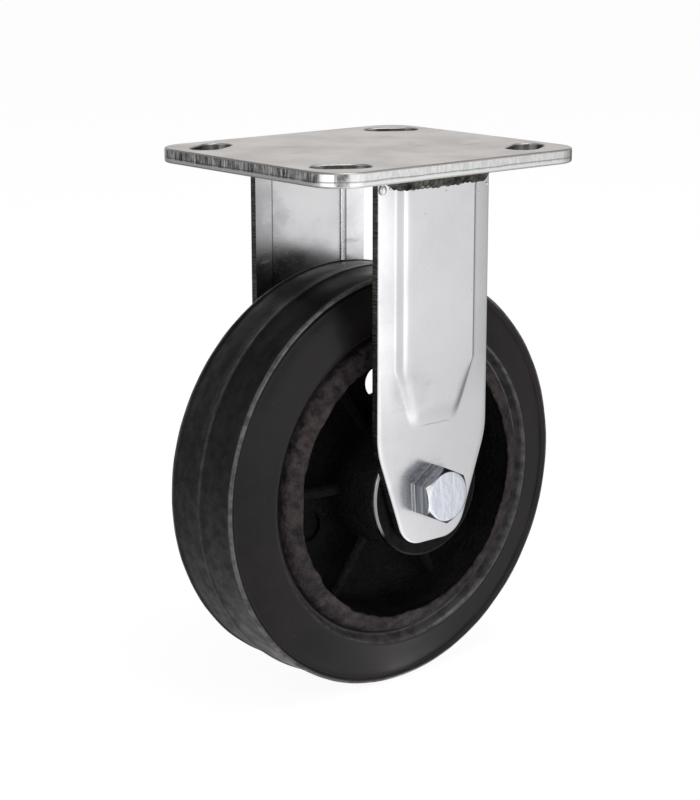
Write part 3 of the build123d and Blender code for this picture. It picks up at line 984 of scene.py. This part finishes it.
def dress(piece: bpy.types.Object, material: bpy.types.Material) -> None:
    """Gives a piece one material.

    Args:
        piece: the piece.
        material: its material.
    """
    piece.data.materials.clear()
    piece.data.materials.append(material)


def make_piece(name: str, mesh: bmesh.types.BMesh, material: bpy.types.Material, body: Body, slot: Slot,
               smooth: bool = True) -> bpy.types.Object:
    """Turns a finished bmesh into a piece that rides on a body.

    Args:
        name: the piece's name.
        mesh: its shape, in metres, in the CAD's frame.
        material: its material.
        body: the body that it rides on.
        slot: the record's slot that it belongs to; not used.
        smooth: whether it is shaded smoothly all over, or else only across its shallow edges.

    Returns:
        The piece.
    """
    data = bpy.data.meshes.new(name)
    mesh.to_mesh(data)
    mesh.free()
    data.shade_smooth()
    if not smooth:
        data.set_sharp_from_angle(angle=SHARP_ANGLE)
    piece = add_object(name, data)
    dress(piece, material)
    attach(piece, body.value)
    LOG.info("made %s with %d faces", name, len(data.polygons))
    return piece


@dataclass
class Tyre:
    """The rubber tyre: a parting ridge, shoulder beads, sidewalls, and a groove inside each sidewall's foot.

    Inside the groove a torn skin of rubber laps over the edge of the iron rim.
    """

    steps: int = 300
    skin_tear: float = 0.8 * MM
    skin_lump: float = 0.55 * MM
    ridge_waver: float = 0.20 * MM
    skin_starts: Tuple[float, float] = (19.0 * MM, 55.5 * MM)
    skin_blend: float = 3.0 * MM
    skin_edge: Tuple[float, float] = (48.6 * MM, 2.6 * MM)
    ridge_area: Tuple[float, float] = (1.3 * MM, 75.0 * MM)
    bead_area: Tuple[float, float, float] = (14.8 * MM, 17.8 * MM, 72.5 * MM)
    half: Tuple[Tuple[float, float], ...] = (
        (0.0, 76.2), (0.35, 76.15), (0.75, 75.9), (1.2, 75.78), (5.0, 75.7), (9.0, 75.55), (13.0, 75.3),
        (15.0, 75.05), (15.4, 75.1), (15.8, 75.45), (16.3, 75.55), (16.8, 75.35), (17.1, 74.8), (17.1, 74.3),
        (16.7, 73.7), (16.35, 73.2), (16.5, 72.7), (17.2, 71.8), (19.0, 67.6), (20.5, 63.6), (21.6, 60.2),
        (21.85, 59.6), (21.75, 59.1), (21.3, 58.6), (19.9, 57.9), (18.4, 57.2), (17.8, 56.5), (18.1, 55.8),
        (19.6, 55.1), (20.8, 54.5), (21.4, 53.8), (21.8, 53.0), (22.1, 52.2), (22.5, 51.4), (22.8, 50.7),
        (23.1, 50.0), (23.25, 49.3), (23.0, 48.8), (22.65, 48.7), (22.6, 49.3), (22.6, 50.4), (15.5, 57.5),
        (0.0, 57.5),
    )

    def build(self, material: bpy.types.Material) -> bpy.types.Object:
        """Spins the profile about the axle and roughens its skin.

        Args:
            material: the rubber.

        Returns:
            The tyre.
        """
        mesh = bmesh.new()
        outline = [*self.half, *((-along, radius) for along, radius in reversed(self.half[1:-1]))]
        spin_section(mesh, [(along * MM, radius * MM) for along, radius in outline], self.steps)
        self._roughen(mesh)
        bmesh.ops.translate(mesh, verts=mesh.verts, vec=AXLE)
        bmesh.ops.recalc_face_normals(mesh, faces=mesh.faces)
        piece = make_piece("rubber_tyre", mesh, material, Body.WHEEL, Slot.RUBBER)
        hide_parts("tyre")
        return piece

    def _roughen(self, mesh: bmesh.types.BMesh) -> None:
        """Tears the skin's inner edge, lumps its face and lets the ridges waver."""
        for vert in mesh.verts:
            radius = math.hypot(vert.co.x, vert.co.z)
            side = abs(vert.co.y)
            out = Vector((vert.co.x, 0, vert.co.z)) / radius
            if side > self.skin_starts[0] and radius < self.skin_starts[1]:
                share = min(1.0, (self.skin_starts[1] - radius) / self.skin_blend)
                lump = noise.noise(vert.co * 150.0) + 0.6 * noise.noise(vert.co * 420.0)
                vert.co.y += math.copysign(lump * self.skin_lump * share, vert.co.y)
                inner = max(0.0, 1.0 - (radius - self.skin_edge[0]) / self.skin_edge[1])
                tear = noise.noise(vert.co * 70.0 + Vector((3, 1, 7))) + 0.7 * noise.noise(vert.co * 300.0)
                vert.co += out * (tear * inner * self.skin_tear)
            elif side < self.ridge_area[0] and radius > self.ridge_area[1]:
                vert.co.y += noise.noise(vert.co * 60.0) * self.ridge_waver
            elif self.bead_area[0] < side < self.bead_area[1] and radius > self.bead_area[2]:
                vert.co += out * (noise.noise(vert.co * 110.0) * self.ridge_waver * 0.8)


@dataclass
class IronCore:
    """The cast iron wheel, with the bevelled rim edges that the rubber is moulded over."""

    bevel_from: float = 15.5 * MM
    rim_radius: float = 57.5 * MM
    mouth_radius: float = 50.0 * MM
    least_radius: float = 50.4 * MM
    merge: float = 0.005 * MM
    blind_turns: Tuple[float, ...] = (124.0, 244.0)
    hole_circle: float = 33.5 * MM
    skin_radius: float = 5.8 * MM
    skin_thickness: float = 2.0 * MM

    def build(self, material: bpy.types.Material) -> bpy.types.Object:
        """Bevels the rim's outer corners on a merged copy of the CAD casting, and closes two of its holes.

        Args:
            material: the iron.

        Returns:
            The casting.
        """
        mesh = bmesh.new()
        mesh.from_mesh(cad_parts["wheel_core"].data)
        bmesh.ops.remove_doubles(mesh, verts=mesh.verts, dist=self.merge)
        for vert in mesh.verts:
            radius = math.hypot(vert.co.x, vert.co.z + AXLE_DEPTH)
            side = abs(vert.co.y)
            if radius > self.mouth_radius and side > self.bevel_from:
                limit = max(self.rim_radius - (side - self.bevel_from), self.least_radius)
                share = min(1.0, limit / radius)
                vert.co.x *= share
                vert.co.z = (vert.co.z + AXLE_DEPTH) * share - AXLE_DEPTH
        for turn in self.blind_turns:
            angle = math.radians(turn)
            spot = AXLE + Vector((math.sin(angle), 0, math.cos(angle))) * self.hole_circle
            place = Matrix.Translation(spot) @ Matrix.Rotation(math.pi / 2, 4, "X")
            bmesh.ops.create_cone(mesh, cap_ends=True, segments=48, radius1=self.skin_radius,
                                  radius2=self.skin_radius, depth=self.skin_thickness, matrix=place)
        piece = make_piece("iron_core", mesh, material, Body.WHEEL, Slot.IRON, smooth=False)
        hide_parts("wheel_core")
        return piece


@dataclass
class PressedLeg:
    """A leg: one sheet with a raised panel pressed into it, which fades out softly above the axle."""

    side: int
    inner: float = 32.1 * MM
    sheet: float = 3.0 * MM
    top: float = -5.1 * MM
    half_width: float = 25.4 * MM
    taper_at: float = -99.7 * MM
    foot_at: float = -136.1 * MM
    foot_half: float = 12.75 * MM
    side_blend: float = 30.0 * MM
    foot_radius: float = 10.5 * MM
    edge_round: float = 0.4 * MM
    row_step: float = 0.8 * MM
    panel_half: float = 18.6 * MM
    panel_slant: float = 0.345
    panel_taper_at: float = -71.7 * MM
    panel_fade_at: float = -85.5 * MM
    panel_end_at: float = -94.5 * MM
    panel_rise: float = 2.5 * MM
    panel_fall: float = 0.077
    bevel_runs: Tuple[float, float] = (3.2 * MM, 2.5 * MM)
    back_inset: float = 1.49 * MM
    bevel_growth: float = 0.6
    back_sharpness: float = 0.22
    strip_tilt: float = 0.12
    strip_fades_before: float = 8 * MM
    arc_steps: Tuple[int, int] = (8, 16)
    panel_share: Tuple[float, float] = (0.35, 0.62)
    slope_share: float = 0.85
    row_steps: Tuple[int, int, int] = (8, 12, 8)
    edge_steps: int = 4

    def panel_edge(self, height: float) -> float:
        """Half the panel's width, at its foot line, at a height."""
        return self.panel_half - self.panel_slant * max(0.0, self.panel_taper_at - height)

    def rise(self, across: float, height: float, inset: float = 0.0) -> float:
        """How far the pressing stands out of the sheet at a spot.

        Args:
            across: the spot's X.
            height: the spot's Z.
            inset: how far the panel is drawn in, on the sheet's back.

        Returns:
            The rise, in metres.
        """
        edge = self.panel_edge(height) - inset
        fade = 1 - smooth_share(-height, -self.panel_fade_at, -self.panel_end_at)
        past_taper = max(0.0, self.panel_taper_at - height)
        crest = (self.panel_rise - self.panel_fall * past_taper) * fade
        growth = self.bevel_growth * past_taper / (self.panel_taper_at - self.panel_end_at)
        run = self.bevel_runs[across > 0] * (1 + growth)
        if inset:
            run *= self.back_sharpness
        room = self.half_width - edge
        share = min(1.0, max(0.0, (self.half_width - abs(across)) / room))
        strip = self.strip_tilt * room * (share - 0.25 * share * share) * fade
        if past_taper:
            fading = -self.panel_taper_at - self.strip_fades_before
            strip *= 1 - smooth_share(-height, fading, -self.panel_end_at)
        return strip + (crest - strip) * smooth_share(edge - abs(across), 0.0, run)

    def outline(self) -> List[Vector]:
        """The +X side of the leg's outline, as (X, Z) from the plate down to its foot."""
        start = Vector((self.half_width, self.top))
        bend = Vector((self.half_width, self.taper_at))
        toe = Vector((self.foot_half, self.foot_at))
        below = Vector((0.0, self.foot_at))
        points = [start]
        for spot in (*rounded_corner(start, bend, toe, self.side_blend, self.arc_steps[0]),
                     *rounded_corner(bend, toe, below, self.foot_radius, self.arc_steps[1])):
            pieces = max(1, round((spot - points[-1]).length / self.row_step))
            last = points[-1].copy()
            points += [last.lerp(spot, step / pieces) for step in range(1, pieces + 1)]
        return points

    def _row(self, mesh: bmesh.types.BMesh, half: float, height: float, level: float,
             inset: float) -> List[bmesh.types.BMVert]:
        """One level row of the sheet's face, with more points where the panel's sides slope."""
        least, most = (half * share for share in self.panel_share)
        edge = max(least, min(self.panel_edge(height) - inset, most if height < self.taper_at else half))
        flat, slope, strip = self.row_steps
        slope_from = edge * self.slope_share
        right = [slope_from * step / flat for step in range(flat)]
        right += [slope_from + (edge - slope_from) * step / slope for step in range(slope)]
        right += [edge + (half - edge) * step / strip for step in range(strip + 1)]
        spots = [-across for across in reversed(right[1:])] + right
        return [mesh.verts.new((across, self.side * (level + self.rise(across, height, inset)), height))
                for across in spots]

    def _rim(self, rows: List[List[bmesh.types.BMVert]]) -> List[bmesh.types.BMVert]:
        """A face's edge: down its -X side, along its foot and up its +X side."""
        return [row[0] for row in rows] + rows[-1][1:-1] + [row[-1] for row in reversed(rows)]

    def build(self, material: bpy.types.Material) -> bpy.types.Object:
        """Lays both faces of the sheet and joins them round its edge.

        Args:
            material: the leg's zinc.

        Returns:
            The leg.
        """
        mesh = bmesh.new()
        side = self.outline()
        outward = []
        for index, spot in enumerate(side):
            along = side[min(index + 1, len(side) - 1)] - side[max(index - 1, 0)]
            outward.append(Vector((-along.y, along.x)).normalized())
        outward[-1] = Vector((0.0, -1.0))
        drawn_in = [spot - way * self.edge_round for spot, way in zip(side, outward)]
        face = [self._row(mesh, spot.x, spot.y, self.inner + self.sheet, 0.0) for spot in drawn_in]
        back = [self._row(mesh, spot.x, spot.y, self.inner, self.back_inset) for spot in side]
        ways = [Vector((-way.x, way.y)) for way in outward] + [Vector((0.0, -1.0))] * (len(face[-1]) - 2)
        ways += list(reversed(outward))
        bridge(mesh, face, closed=False)
        bridge(mesh, back, closed=False)
        loops = [self._rim(face)]
        for step in range(1, self.edge_steps + 1):
            angle = math.radians(90 * step / self.edge_steps)
            out, level = self.edge_round * math.sin(angle), self.edge_round * (1 - math.cos(angle))
            loops.append([mesh.verts.new((start.co.x + way.x * out, start.co.y - self.side * level,
                                          start.co.z + way.y * out)) for start, way in zip(loops[0], ways)])
        loops.append(self._rim(back))
        bridge(mesh, loops, closed=False)
        bmesh.ops.holes_fill(mesh, edges=[edge for edge in mesh.edges if edge.is_boundary], sides=0)
        bmesh.ops.recalc_face_normals(mesh, faces=mesh.faces)
        name = end_name(self.side)
        piece = make_piece(f"{name}_pressed_leg", mesh, material, Body.BRACKET, Slot.LEG, smooth=False)
        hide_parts(f"{name}_leg")
        return piece


@dataclass
class Weld:
    """The bead between a leg and the plate: a lumpy fillet that steps out over the raised panel."""

    leg: PressedLeg
    size: float = 4.7 * MM
    flatness: float = 0.68
    ripple: float = 0.10
    lump: float = 0.40 * MM
    ends: Tuple[float, float] = (-23.6 * MM, 26.0 * MM)
    step: float = 0.25 * MM
    pitch: float = 2.3 * MM
    sunk: float = 0.3 * MM
    bite: float = 0.4 * MM
    into_plate: float = 0.05 * MM
    swell: float = 0.18
    least_taper: float = 0.004
    push_way: float = 0.7

    def build(self, material: bpy.types.Material) -> bpy.types.Object:
        """Sweeps a quarter round along the top of the leg and roughens it.

        Args:
            material: the bead's finish.

        Returns:
            The bead.
        """
        mesh = bmesh.new()
        leg = self.leg
        start, end = self.ends
        count = round((end - start) / self.step)
        rings = []
        for index in range(count + 1):
            across = start + (end - start) * index / count
            end_share = min(across - start, end - across) / self.size
            taper = math.sqrt(min(1.0, max(self.least_taper, end_share)))
            wave = 1 + self.ripple * abs(math.sin(math.pi * across / self.pitch))
            swell = 1 + self.swell * noise.noise(Vector((across * 120.0, leg.side, 0.0)))
            size = self.size * taper * wave * swell
            root = leg.inner + leg.sheet + leg.rise(min(across, leg.half_width), leg.top) - self.sunk
            within = leg.side * (root - self.bite)
            ring = [mesh.verts.new((across, within, leg.top + self.into_plate))]
            for turn in range(0, 91, 10):
                angle = math.radians(turn)
                out = root + size * self.flatness * math.cos(angle)
                spot = Vector((across, leg.side * out, leg.top - size * math.sin(angle)))
                push = noise.noise(spot * 420.0) + 0.5 * noise.noise(spot * 1100.0)
                spot += Vector((0, leg.side * self.push_way, -self.push_way)) * (push * self.lump * taper)
                spot.z = min(spot.z, leg.top)
                ring.append(mesh.verts.new(spot))
            ring.append(mesh.verts.new((across, within, leg.top - size)))
            rings.append(ring)
        bridge(mesh, rings, closed=True)
        mesh.faces.new(rings[0])
        mesh.faces.new(list(reversed(rings[-1])))
        bmesh.ops.recalc_face_normals(mesh, faces=mesh.faces)
        name = end_name(leg.side)
        piece = make_piece(f"{name}_weld_bead", mesh, material, Body.BRACKET, Slot.WELD)
        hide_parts(f"{name}_weld")
        return piece


@dataclass
class Spatter:
    """The beads of weld spatter that cling to a leg below its weld."""

    leg: PressedLeg
    spots: Tuple[Tuple[float, float, float], ...] = (
        (-23.9, -9.4, 1.5), (-24.1, -7.2, 1.0), (-20.5, -9.2, 0.5), (-12.0, -10.4, 0.35), (3.0, -12.0, 0.3),
        (15.5, -9.0, 0.45), (22.0, -8.0, 0.9), (24.0, -11.5, 0.5), (19.8, -14.0, 0.3), (-6.5, -19.0, 0.25),
    )
    stretch: float = 1.2

    def build(self, material: bpy.types.Material) -> bpy.types.Object:
        """Sets each bead half into the sheet's face.

        Args:
            material: the zinc that covers them.

        Returns:
            The beads, as one piece.
        """
        mesh = bmesh.new()
        leg = self.leg
        for across, height, radius in self.spots:
            across, height, radius = across * MM, height * MM, radius * MM
            level = leg.side * (leg.inner + leg.sheet + leg.rise(across, height))
            place = Matrix.Translation((across, level, height)) @ Matrix.Scale(self.stretch, 4, (0, 0, 1))
            bmesh.ops.create_icosphere(mesh, subdivisions=3, radius=radius, matrix=place)
        name = end_name(leg.side)
        return make_piece(f"{name}_spatter", mesh, material, Body.BRACKET, Slot.LEG)


@dataclass
class AxleBolt:
    """The axle bolt: a hexagon head whose corners are cut off to a disc, and its shank."""

    apothem: float = 9.0 * MM
    first_corner: float = 94.0
    front: float = -43.3 * MM
    seat: float = -35.1 * MM
    tip: float = 54.9 * MM
    tip_chamfer: float = 1.0 * MM
    shank_radius: float = 6.0 * MM
    disc_radius: float = 8.85 * MM
    chamfer_slope: float = 0.85
    face_radii: Tuple[float, ...] = (2.5 * MM, 5.0 * MM, 7.4 * MM, 8.6 * MM)
    disc_round: float = 0.05 * MM
    chamfer_shares: Tuple[float, ...] = (0.25, 0.5, 0.75, 1.0)
    steps: int = 144

    def _reach(self, angle: float) -> float:
        """How far the hexagon reaches from the axle at an angle, in degrees."""
        return self.apothem / math.cos(math.radians((angle - self.first_corner) % 60.0 - 30.0))

    def build(self, material: bpy.types.Material) -> bpy.types.Object:
        """Builds the head and the shank as rings about the axle.

        Args:
            material: the fasteners' zinc.

        Returns:
            The bolt.
        """
        mesh = bmesh.new()
        angles = [self.first_corner + 360.0 * index / self.steps for index in range(self.steps)]
        shoulder = self.front + self.disc_round
        rings = [[(radius, self.front)] * self.steps for radius in self.face_radii]
        rings.append([(self.disc_radius, shoulder)] * self.steps)
        for share in self.chamfer_shares:
            out = [(self._reach(angle) - self.disc_radius) * share for angle in angles]
            rings.append([(self.disc_radius + way, shoulder + way * self.chamfer_slope) for way in out])
        rings.append([(self._reach(angle), self.seat) for angle in angles])
        rings.append([(self.shank_radius, self.seat)] * self.steps)
        rings.append([(self.shank_radius, self.tip - self.tip_chamfer)] * self.steps)
        rings.append([(self.shank_radius - self.tip_chamfer, self.tip)] * self.steps)
        turns = [math.radians(angle) for angle in angles]
        laid = [[mesh.verts.new((radius * math.cos(turn), along, radius * math.sin(turn) - AXLE_DEPTH))
                 for turn, (radius, along) in zip(turns, ring)] for ring in rings]
        bridge(mesh, laid, closed=True)
        mesh.faces.new(laid[0])
        mesh.faces.new(laid[-1])
        bmesh.ops.recalc_face_normals(mesh, faces=mesh.faces)
        piece = make_piece("hex_axle_bolt", mesh, material, Body.BRACKET, Slot.FASTENER, smooth=False)
        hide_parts("axle_bolt")
        return piece


@dataclass
class ThrustWasher:
    """A washer between a leg and the hub, with rounded edges; its material paints a highlight on one side of
    its rim.
    """

    side: int
    bore: float = 9.7 * MM
    radius: float = 24.0 * MM
    start: float = 29.1 * MM
    end: float = 32.1 * MM
    edge_round: float = 1.1 * MM
    edge_steps: int = 6
    steps: int = 160

    def build(self, material: bpy.types.Material) -> bpy.types.Object:
        """Spins the washer's section about the axle.

        Args:
            material: its steel.

        Returns:
            The washer.
        """
        mesh = bmesh.new()
        section = [Vector((self.start, self.bore)), Vector((self.start, self.radius)),
                   Vector((self.end, self.radius)), Vector((self.end, self.bore))]
        points = [section[0], *rounded_corner(*section[:3], self.edge_round, self.edge_steps),
                  *rounded_corner(*section[1:], self.edge_round, self.edge_steps), section[3]]
        spin_section(mesh, [(self.side * along, radius) for along, radius in points], self.steps)
        bmesh.ops.translate(mesh, verts=mesh.verts, vec=AXLE)
        bmesh.ops.recalc_face_normals(mesh, faces=mesh.faces)
        name = end_name(self.side)
        piece = make_piece(f"{name}_washer", mesh, material, Body.BRACKET, Slot.FASTENER, smooth=False)
        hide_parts(f"{name}_thrust_washer")
        return piece


@dataclass
class Studio:
    """The floor, the lights, the world and the camera."""

    lens: float = 90.65
    azimuth: float = -40.02
    elevation: float = 13.962
    roll: float = -0.059
    distance: float = 729.365 * MM
    target_height: float = -91.685 * MM
    target_right: float = -6.406 * MM
    clip: Tuple[float, float] = (0.02, 50.0)
    floor_glow: float = 0.93
    floor_grey: float = 0.6
    floor_seen_grey: float = 0.16
    floor_half: float = 6.0
    floor_drop: float = 0.2 * MM
    middle: Tuple[float, float, float] = (0.0, 0.0, -0.09)
    room: Room = Room()

    def camera(self) -> bpy.types.Object:
        """Places the camera where the photograph was taken from.

        Returns:
            The camera.
        """
        turn, lift, roll = (math.radians(angle) for angle in (self.azimuth, self.elevation, self.roll))
        back = Vector((math.sin(turn) * math.cos(lift), -math.cos(turn) * math.cos(lift), math.sin(lift)))
        level = Vector((math.cos(turn), math.sin(turn), 0.0))
        upright = back.cross(level)
        right = level * math.cos(roll) + upright * math.sin(roll)
        up = back.cross(right)
        target = Vector((0, 0, self.target_height)) + level * self.target_right
        data = bpy.data.cameras.new("camera")
        data.lens = self.lens
        data.clip_start, data.clip_end = self.clip
        camera = add_object("camera", data)
        place = target + back * self.distance
        camera.matrix_world = Matrix.Translation(place) @ Matrix((right, up, back)).transposed().to_4x4()
        bpy.context.scene.camera = camera
        return camera

    def lamp(self, name: str, place: Sequence[float], aim: Sequence[float], size: Tuple[float, float],
             watts: float) -> bpy.types.Object:
        """Places one soft box.

        Args:
            name: its name.
            place: where it stands, in metres.
            aim: the point that it faces.
            size: its width and height.
            watts: its power.

        Returns:
            The lamp.
        """
        data = bpy.data.lights.new(name, "AREA")
        data.shape = "RECTANGLE"
        data.size, data.size_y = size
        data.energy = watts
        lamp = add_object(name, data)
        lamp.location = place
        lamp.rotation_mode = "QUATERNION"
        lamp.rotation_quaternion = (Vector(aim) - Vector(place)).to_track_quat("-Z", "Y")
        return lamp

    def lamps(self) -> None:
        """Places the soft boxes: one on the left, one overhead and a weak one in front."""
        self.lamp("left box", (-1.3, -0.35, 0.15), self.middle, (0.5, 0.9), 4.0)
        self.lamp("top box", (0.1, -0.35, 1.2), self.middle, (0.8, 0.8), 6.0)
        self.lamp("front box", (0.2, -1.3, 0.45), self.middle, (0.6, 0.6), 3.0)

    def world(self) -> None:
        """Lights the walls by their direction, keeps the ceiling dim, and shows the camera plain white."""
        world = bpy.data.worlds.new("studio")
        bpy.context.scene.world = world
        world.use_nodes = True
        tree = world.node_tree
        tree.nodes.clear()
        way = tree.nodes.new("ShaderNodeTexCoord").outputs["Generated"]
        height = add_node(tree, "ShaderNodeSeparateXYZ", {0: way}).outputs[2]
        walls = EFFECTS.room(tree, way, self.room)["Walls"]
        level = ramp(tree, height, self.room.low, self.room.high, walls, self.room.ceiling)
        path = tree.nodes.new("ShaderNodeLightPath")
        seen = add_node(tree, "ShaderNodeMix", {0: path.outputs["Is Camera Ray"], 2: level, 3: 1.0},
                        data_type="FLOAT")
        back = add_node(tree, "ShaderNodeBackground", {"Color": (1, 1, 1, 1), "Strength": seen.outputs[0]})
        output = tree.nodes.new("ShaderNodeOutputWorld")
        tree.links.new(back.outputs[0], output.inputs["Surface"])

    def floor(self) -> bpy.types.Object:
        """Lays the pale floor, which shows white to the camera and keeps a soft shadow.

        Returns:
            The floor.
        """
        material = bpy.data.materials.new("pale floor")
        material.use_nodes = True
        tree = material.node_tree
        tree.nodes.clear()
        path = tree.nodes.new("ShaderNodeLightPath")
        seen = maths(tree, "MAXIMUM", path.outputs["Is Camera Ray"], path.outputs["Is Glossy Ray"])
        seen = maths(tree, "MAXIMUM", seen, path.outputs["Is Transmission Ray"])
        place = tree.nodes.new("ShaderNodeTexCoord").outputs["Object"]
        level = EFFECTS.room(tree, place, self.room)["Floor"]
        glow = add_node(tree, "ShaderNodeMix",
                        {0: path.outputs["Is Camera Ray"], 2: level, 3: self.floor_glow},
                        data_type="FLOAT").outputs[0]
        plain = add_node(tree, "ShaderNodeBsdfDiffuse", {"Color": (*[self.floor_grey] * 3, 1)})
        faint = add_node(tree, "ShaderNodeBsdfDiffuse", {"Color": (*[self.floor_seen_grey] * 3, 1)})
        shine = add_node(tree, "ShaderNodeEmission", {"Color": (1, 1, 1, 1), "Strength": glow})
        both = add_node(tree, "ShaderNodeAddShader", {0: faint.outputs[0], 1: shine.outputs[0]})
        mix = add_node(tree, "ShaderNodeMixShader", {0: seen, 1: plain.outputs[0], 2: both.outputs[0]})
        output = tree.nodes.new("ShaderNodeOutputMaterial")
        tree.links.new(mix.outputs[0], output.inputs["Surface"])
        mesh = bmesh.new()
        bmesh.ops.create_grid(mesh, x_segments=1, y_segments=1, size=self.floor_half)
        bmesh.ops.translate(mesh, verts=mesh.verts, vec=(0, 0, FLOOR_Z - self.floor_drop))
        data = bpy.data.meshes.new("floor")
        mesh.to_mesh(data)
        mesh.free()
        floor = add_object("floor", data)
        dress(floor, material)
        floor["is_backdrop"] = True
        return floor

    def build(self) -> None:
        """Builds the whole studio."""
        bpy.context.scene.view_settings.view_transform = "Standard"
        self.camera()
        self.lamps()
        self.world()
        self.floor()
        LOG.info("studio ready")


def dress_nodes(bolt: bpy.types.Material) -> None:
    """Gives every CAD node that stays in view its finish.

    Args:
        bolt: the fasteners' zinc.
    """
    bearing = BEARING_STEEL.build()
    finishes = {
        "top_plate": PLATE_ZINC.build(), "lock_nut": bolt, "nut_washer": bolt, "nylon_ring": NYLON.build(),
        "spacer_tube": bearing, "grease_nipple": NIPPLE_ZINC.build(), "roller_cage": CAGE_STEEL.build(),
    }
    finishes.update({f"roller_{index}": bearing for index in range(1, ROLLERS + 1)})
    for node, material in finishes.items():
        dress(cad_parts[node], material)
    LOG.info("dressed %d CAD nodes", len(finishes))


def corners(box: Tuple[Vector, Vector]) -> List[List[float]]:
    """A box's two corners as plain lists of numbers."""
    return [list(map(float, corner)) for corner in box]


def main() -> None:
    """Builds the studio, dresses the castor and works out the scene's bounds before and after dressing."""
    logging.basicConfig(level=logging.INFO, format="%(message)s")
    cad_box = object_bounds()
    Studio().build()
    bolt, leg_zinc = BoltFinish().build(), LEG_ZINC.build()
    weld, washer = WeldFinish().build(), WasherFinish().build()
    dress_nodes(bolt)
    Tyre().build(RubberFinish().build())
    IronCore().build(IronFinish().build())
    AxleBolt().build(bolt)
    for side in (-1, 1):
        leg = PressedLeg(side)
        leg.build(leg_zinc)
        Weld(leg).build(weld)
        Spatter(leg).build(leg_zinc)
        ThrustWasher(side).build(washer)
    {"cad": corners(cad_box), "visual": corners(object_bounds())}


if __name__ == "__main__":
    main()
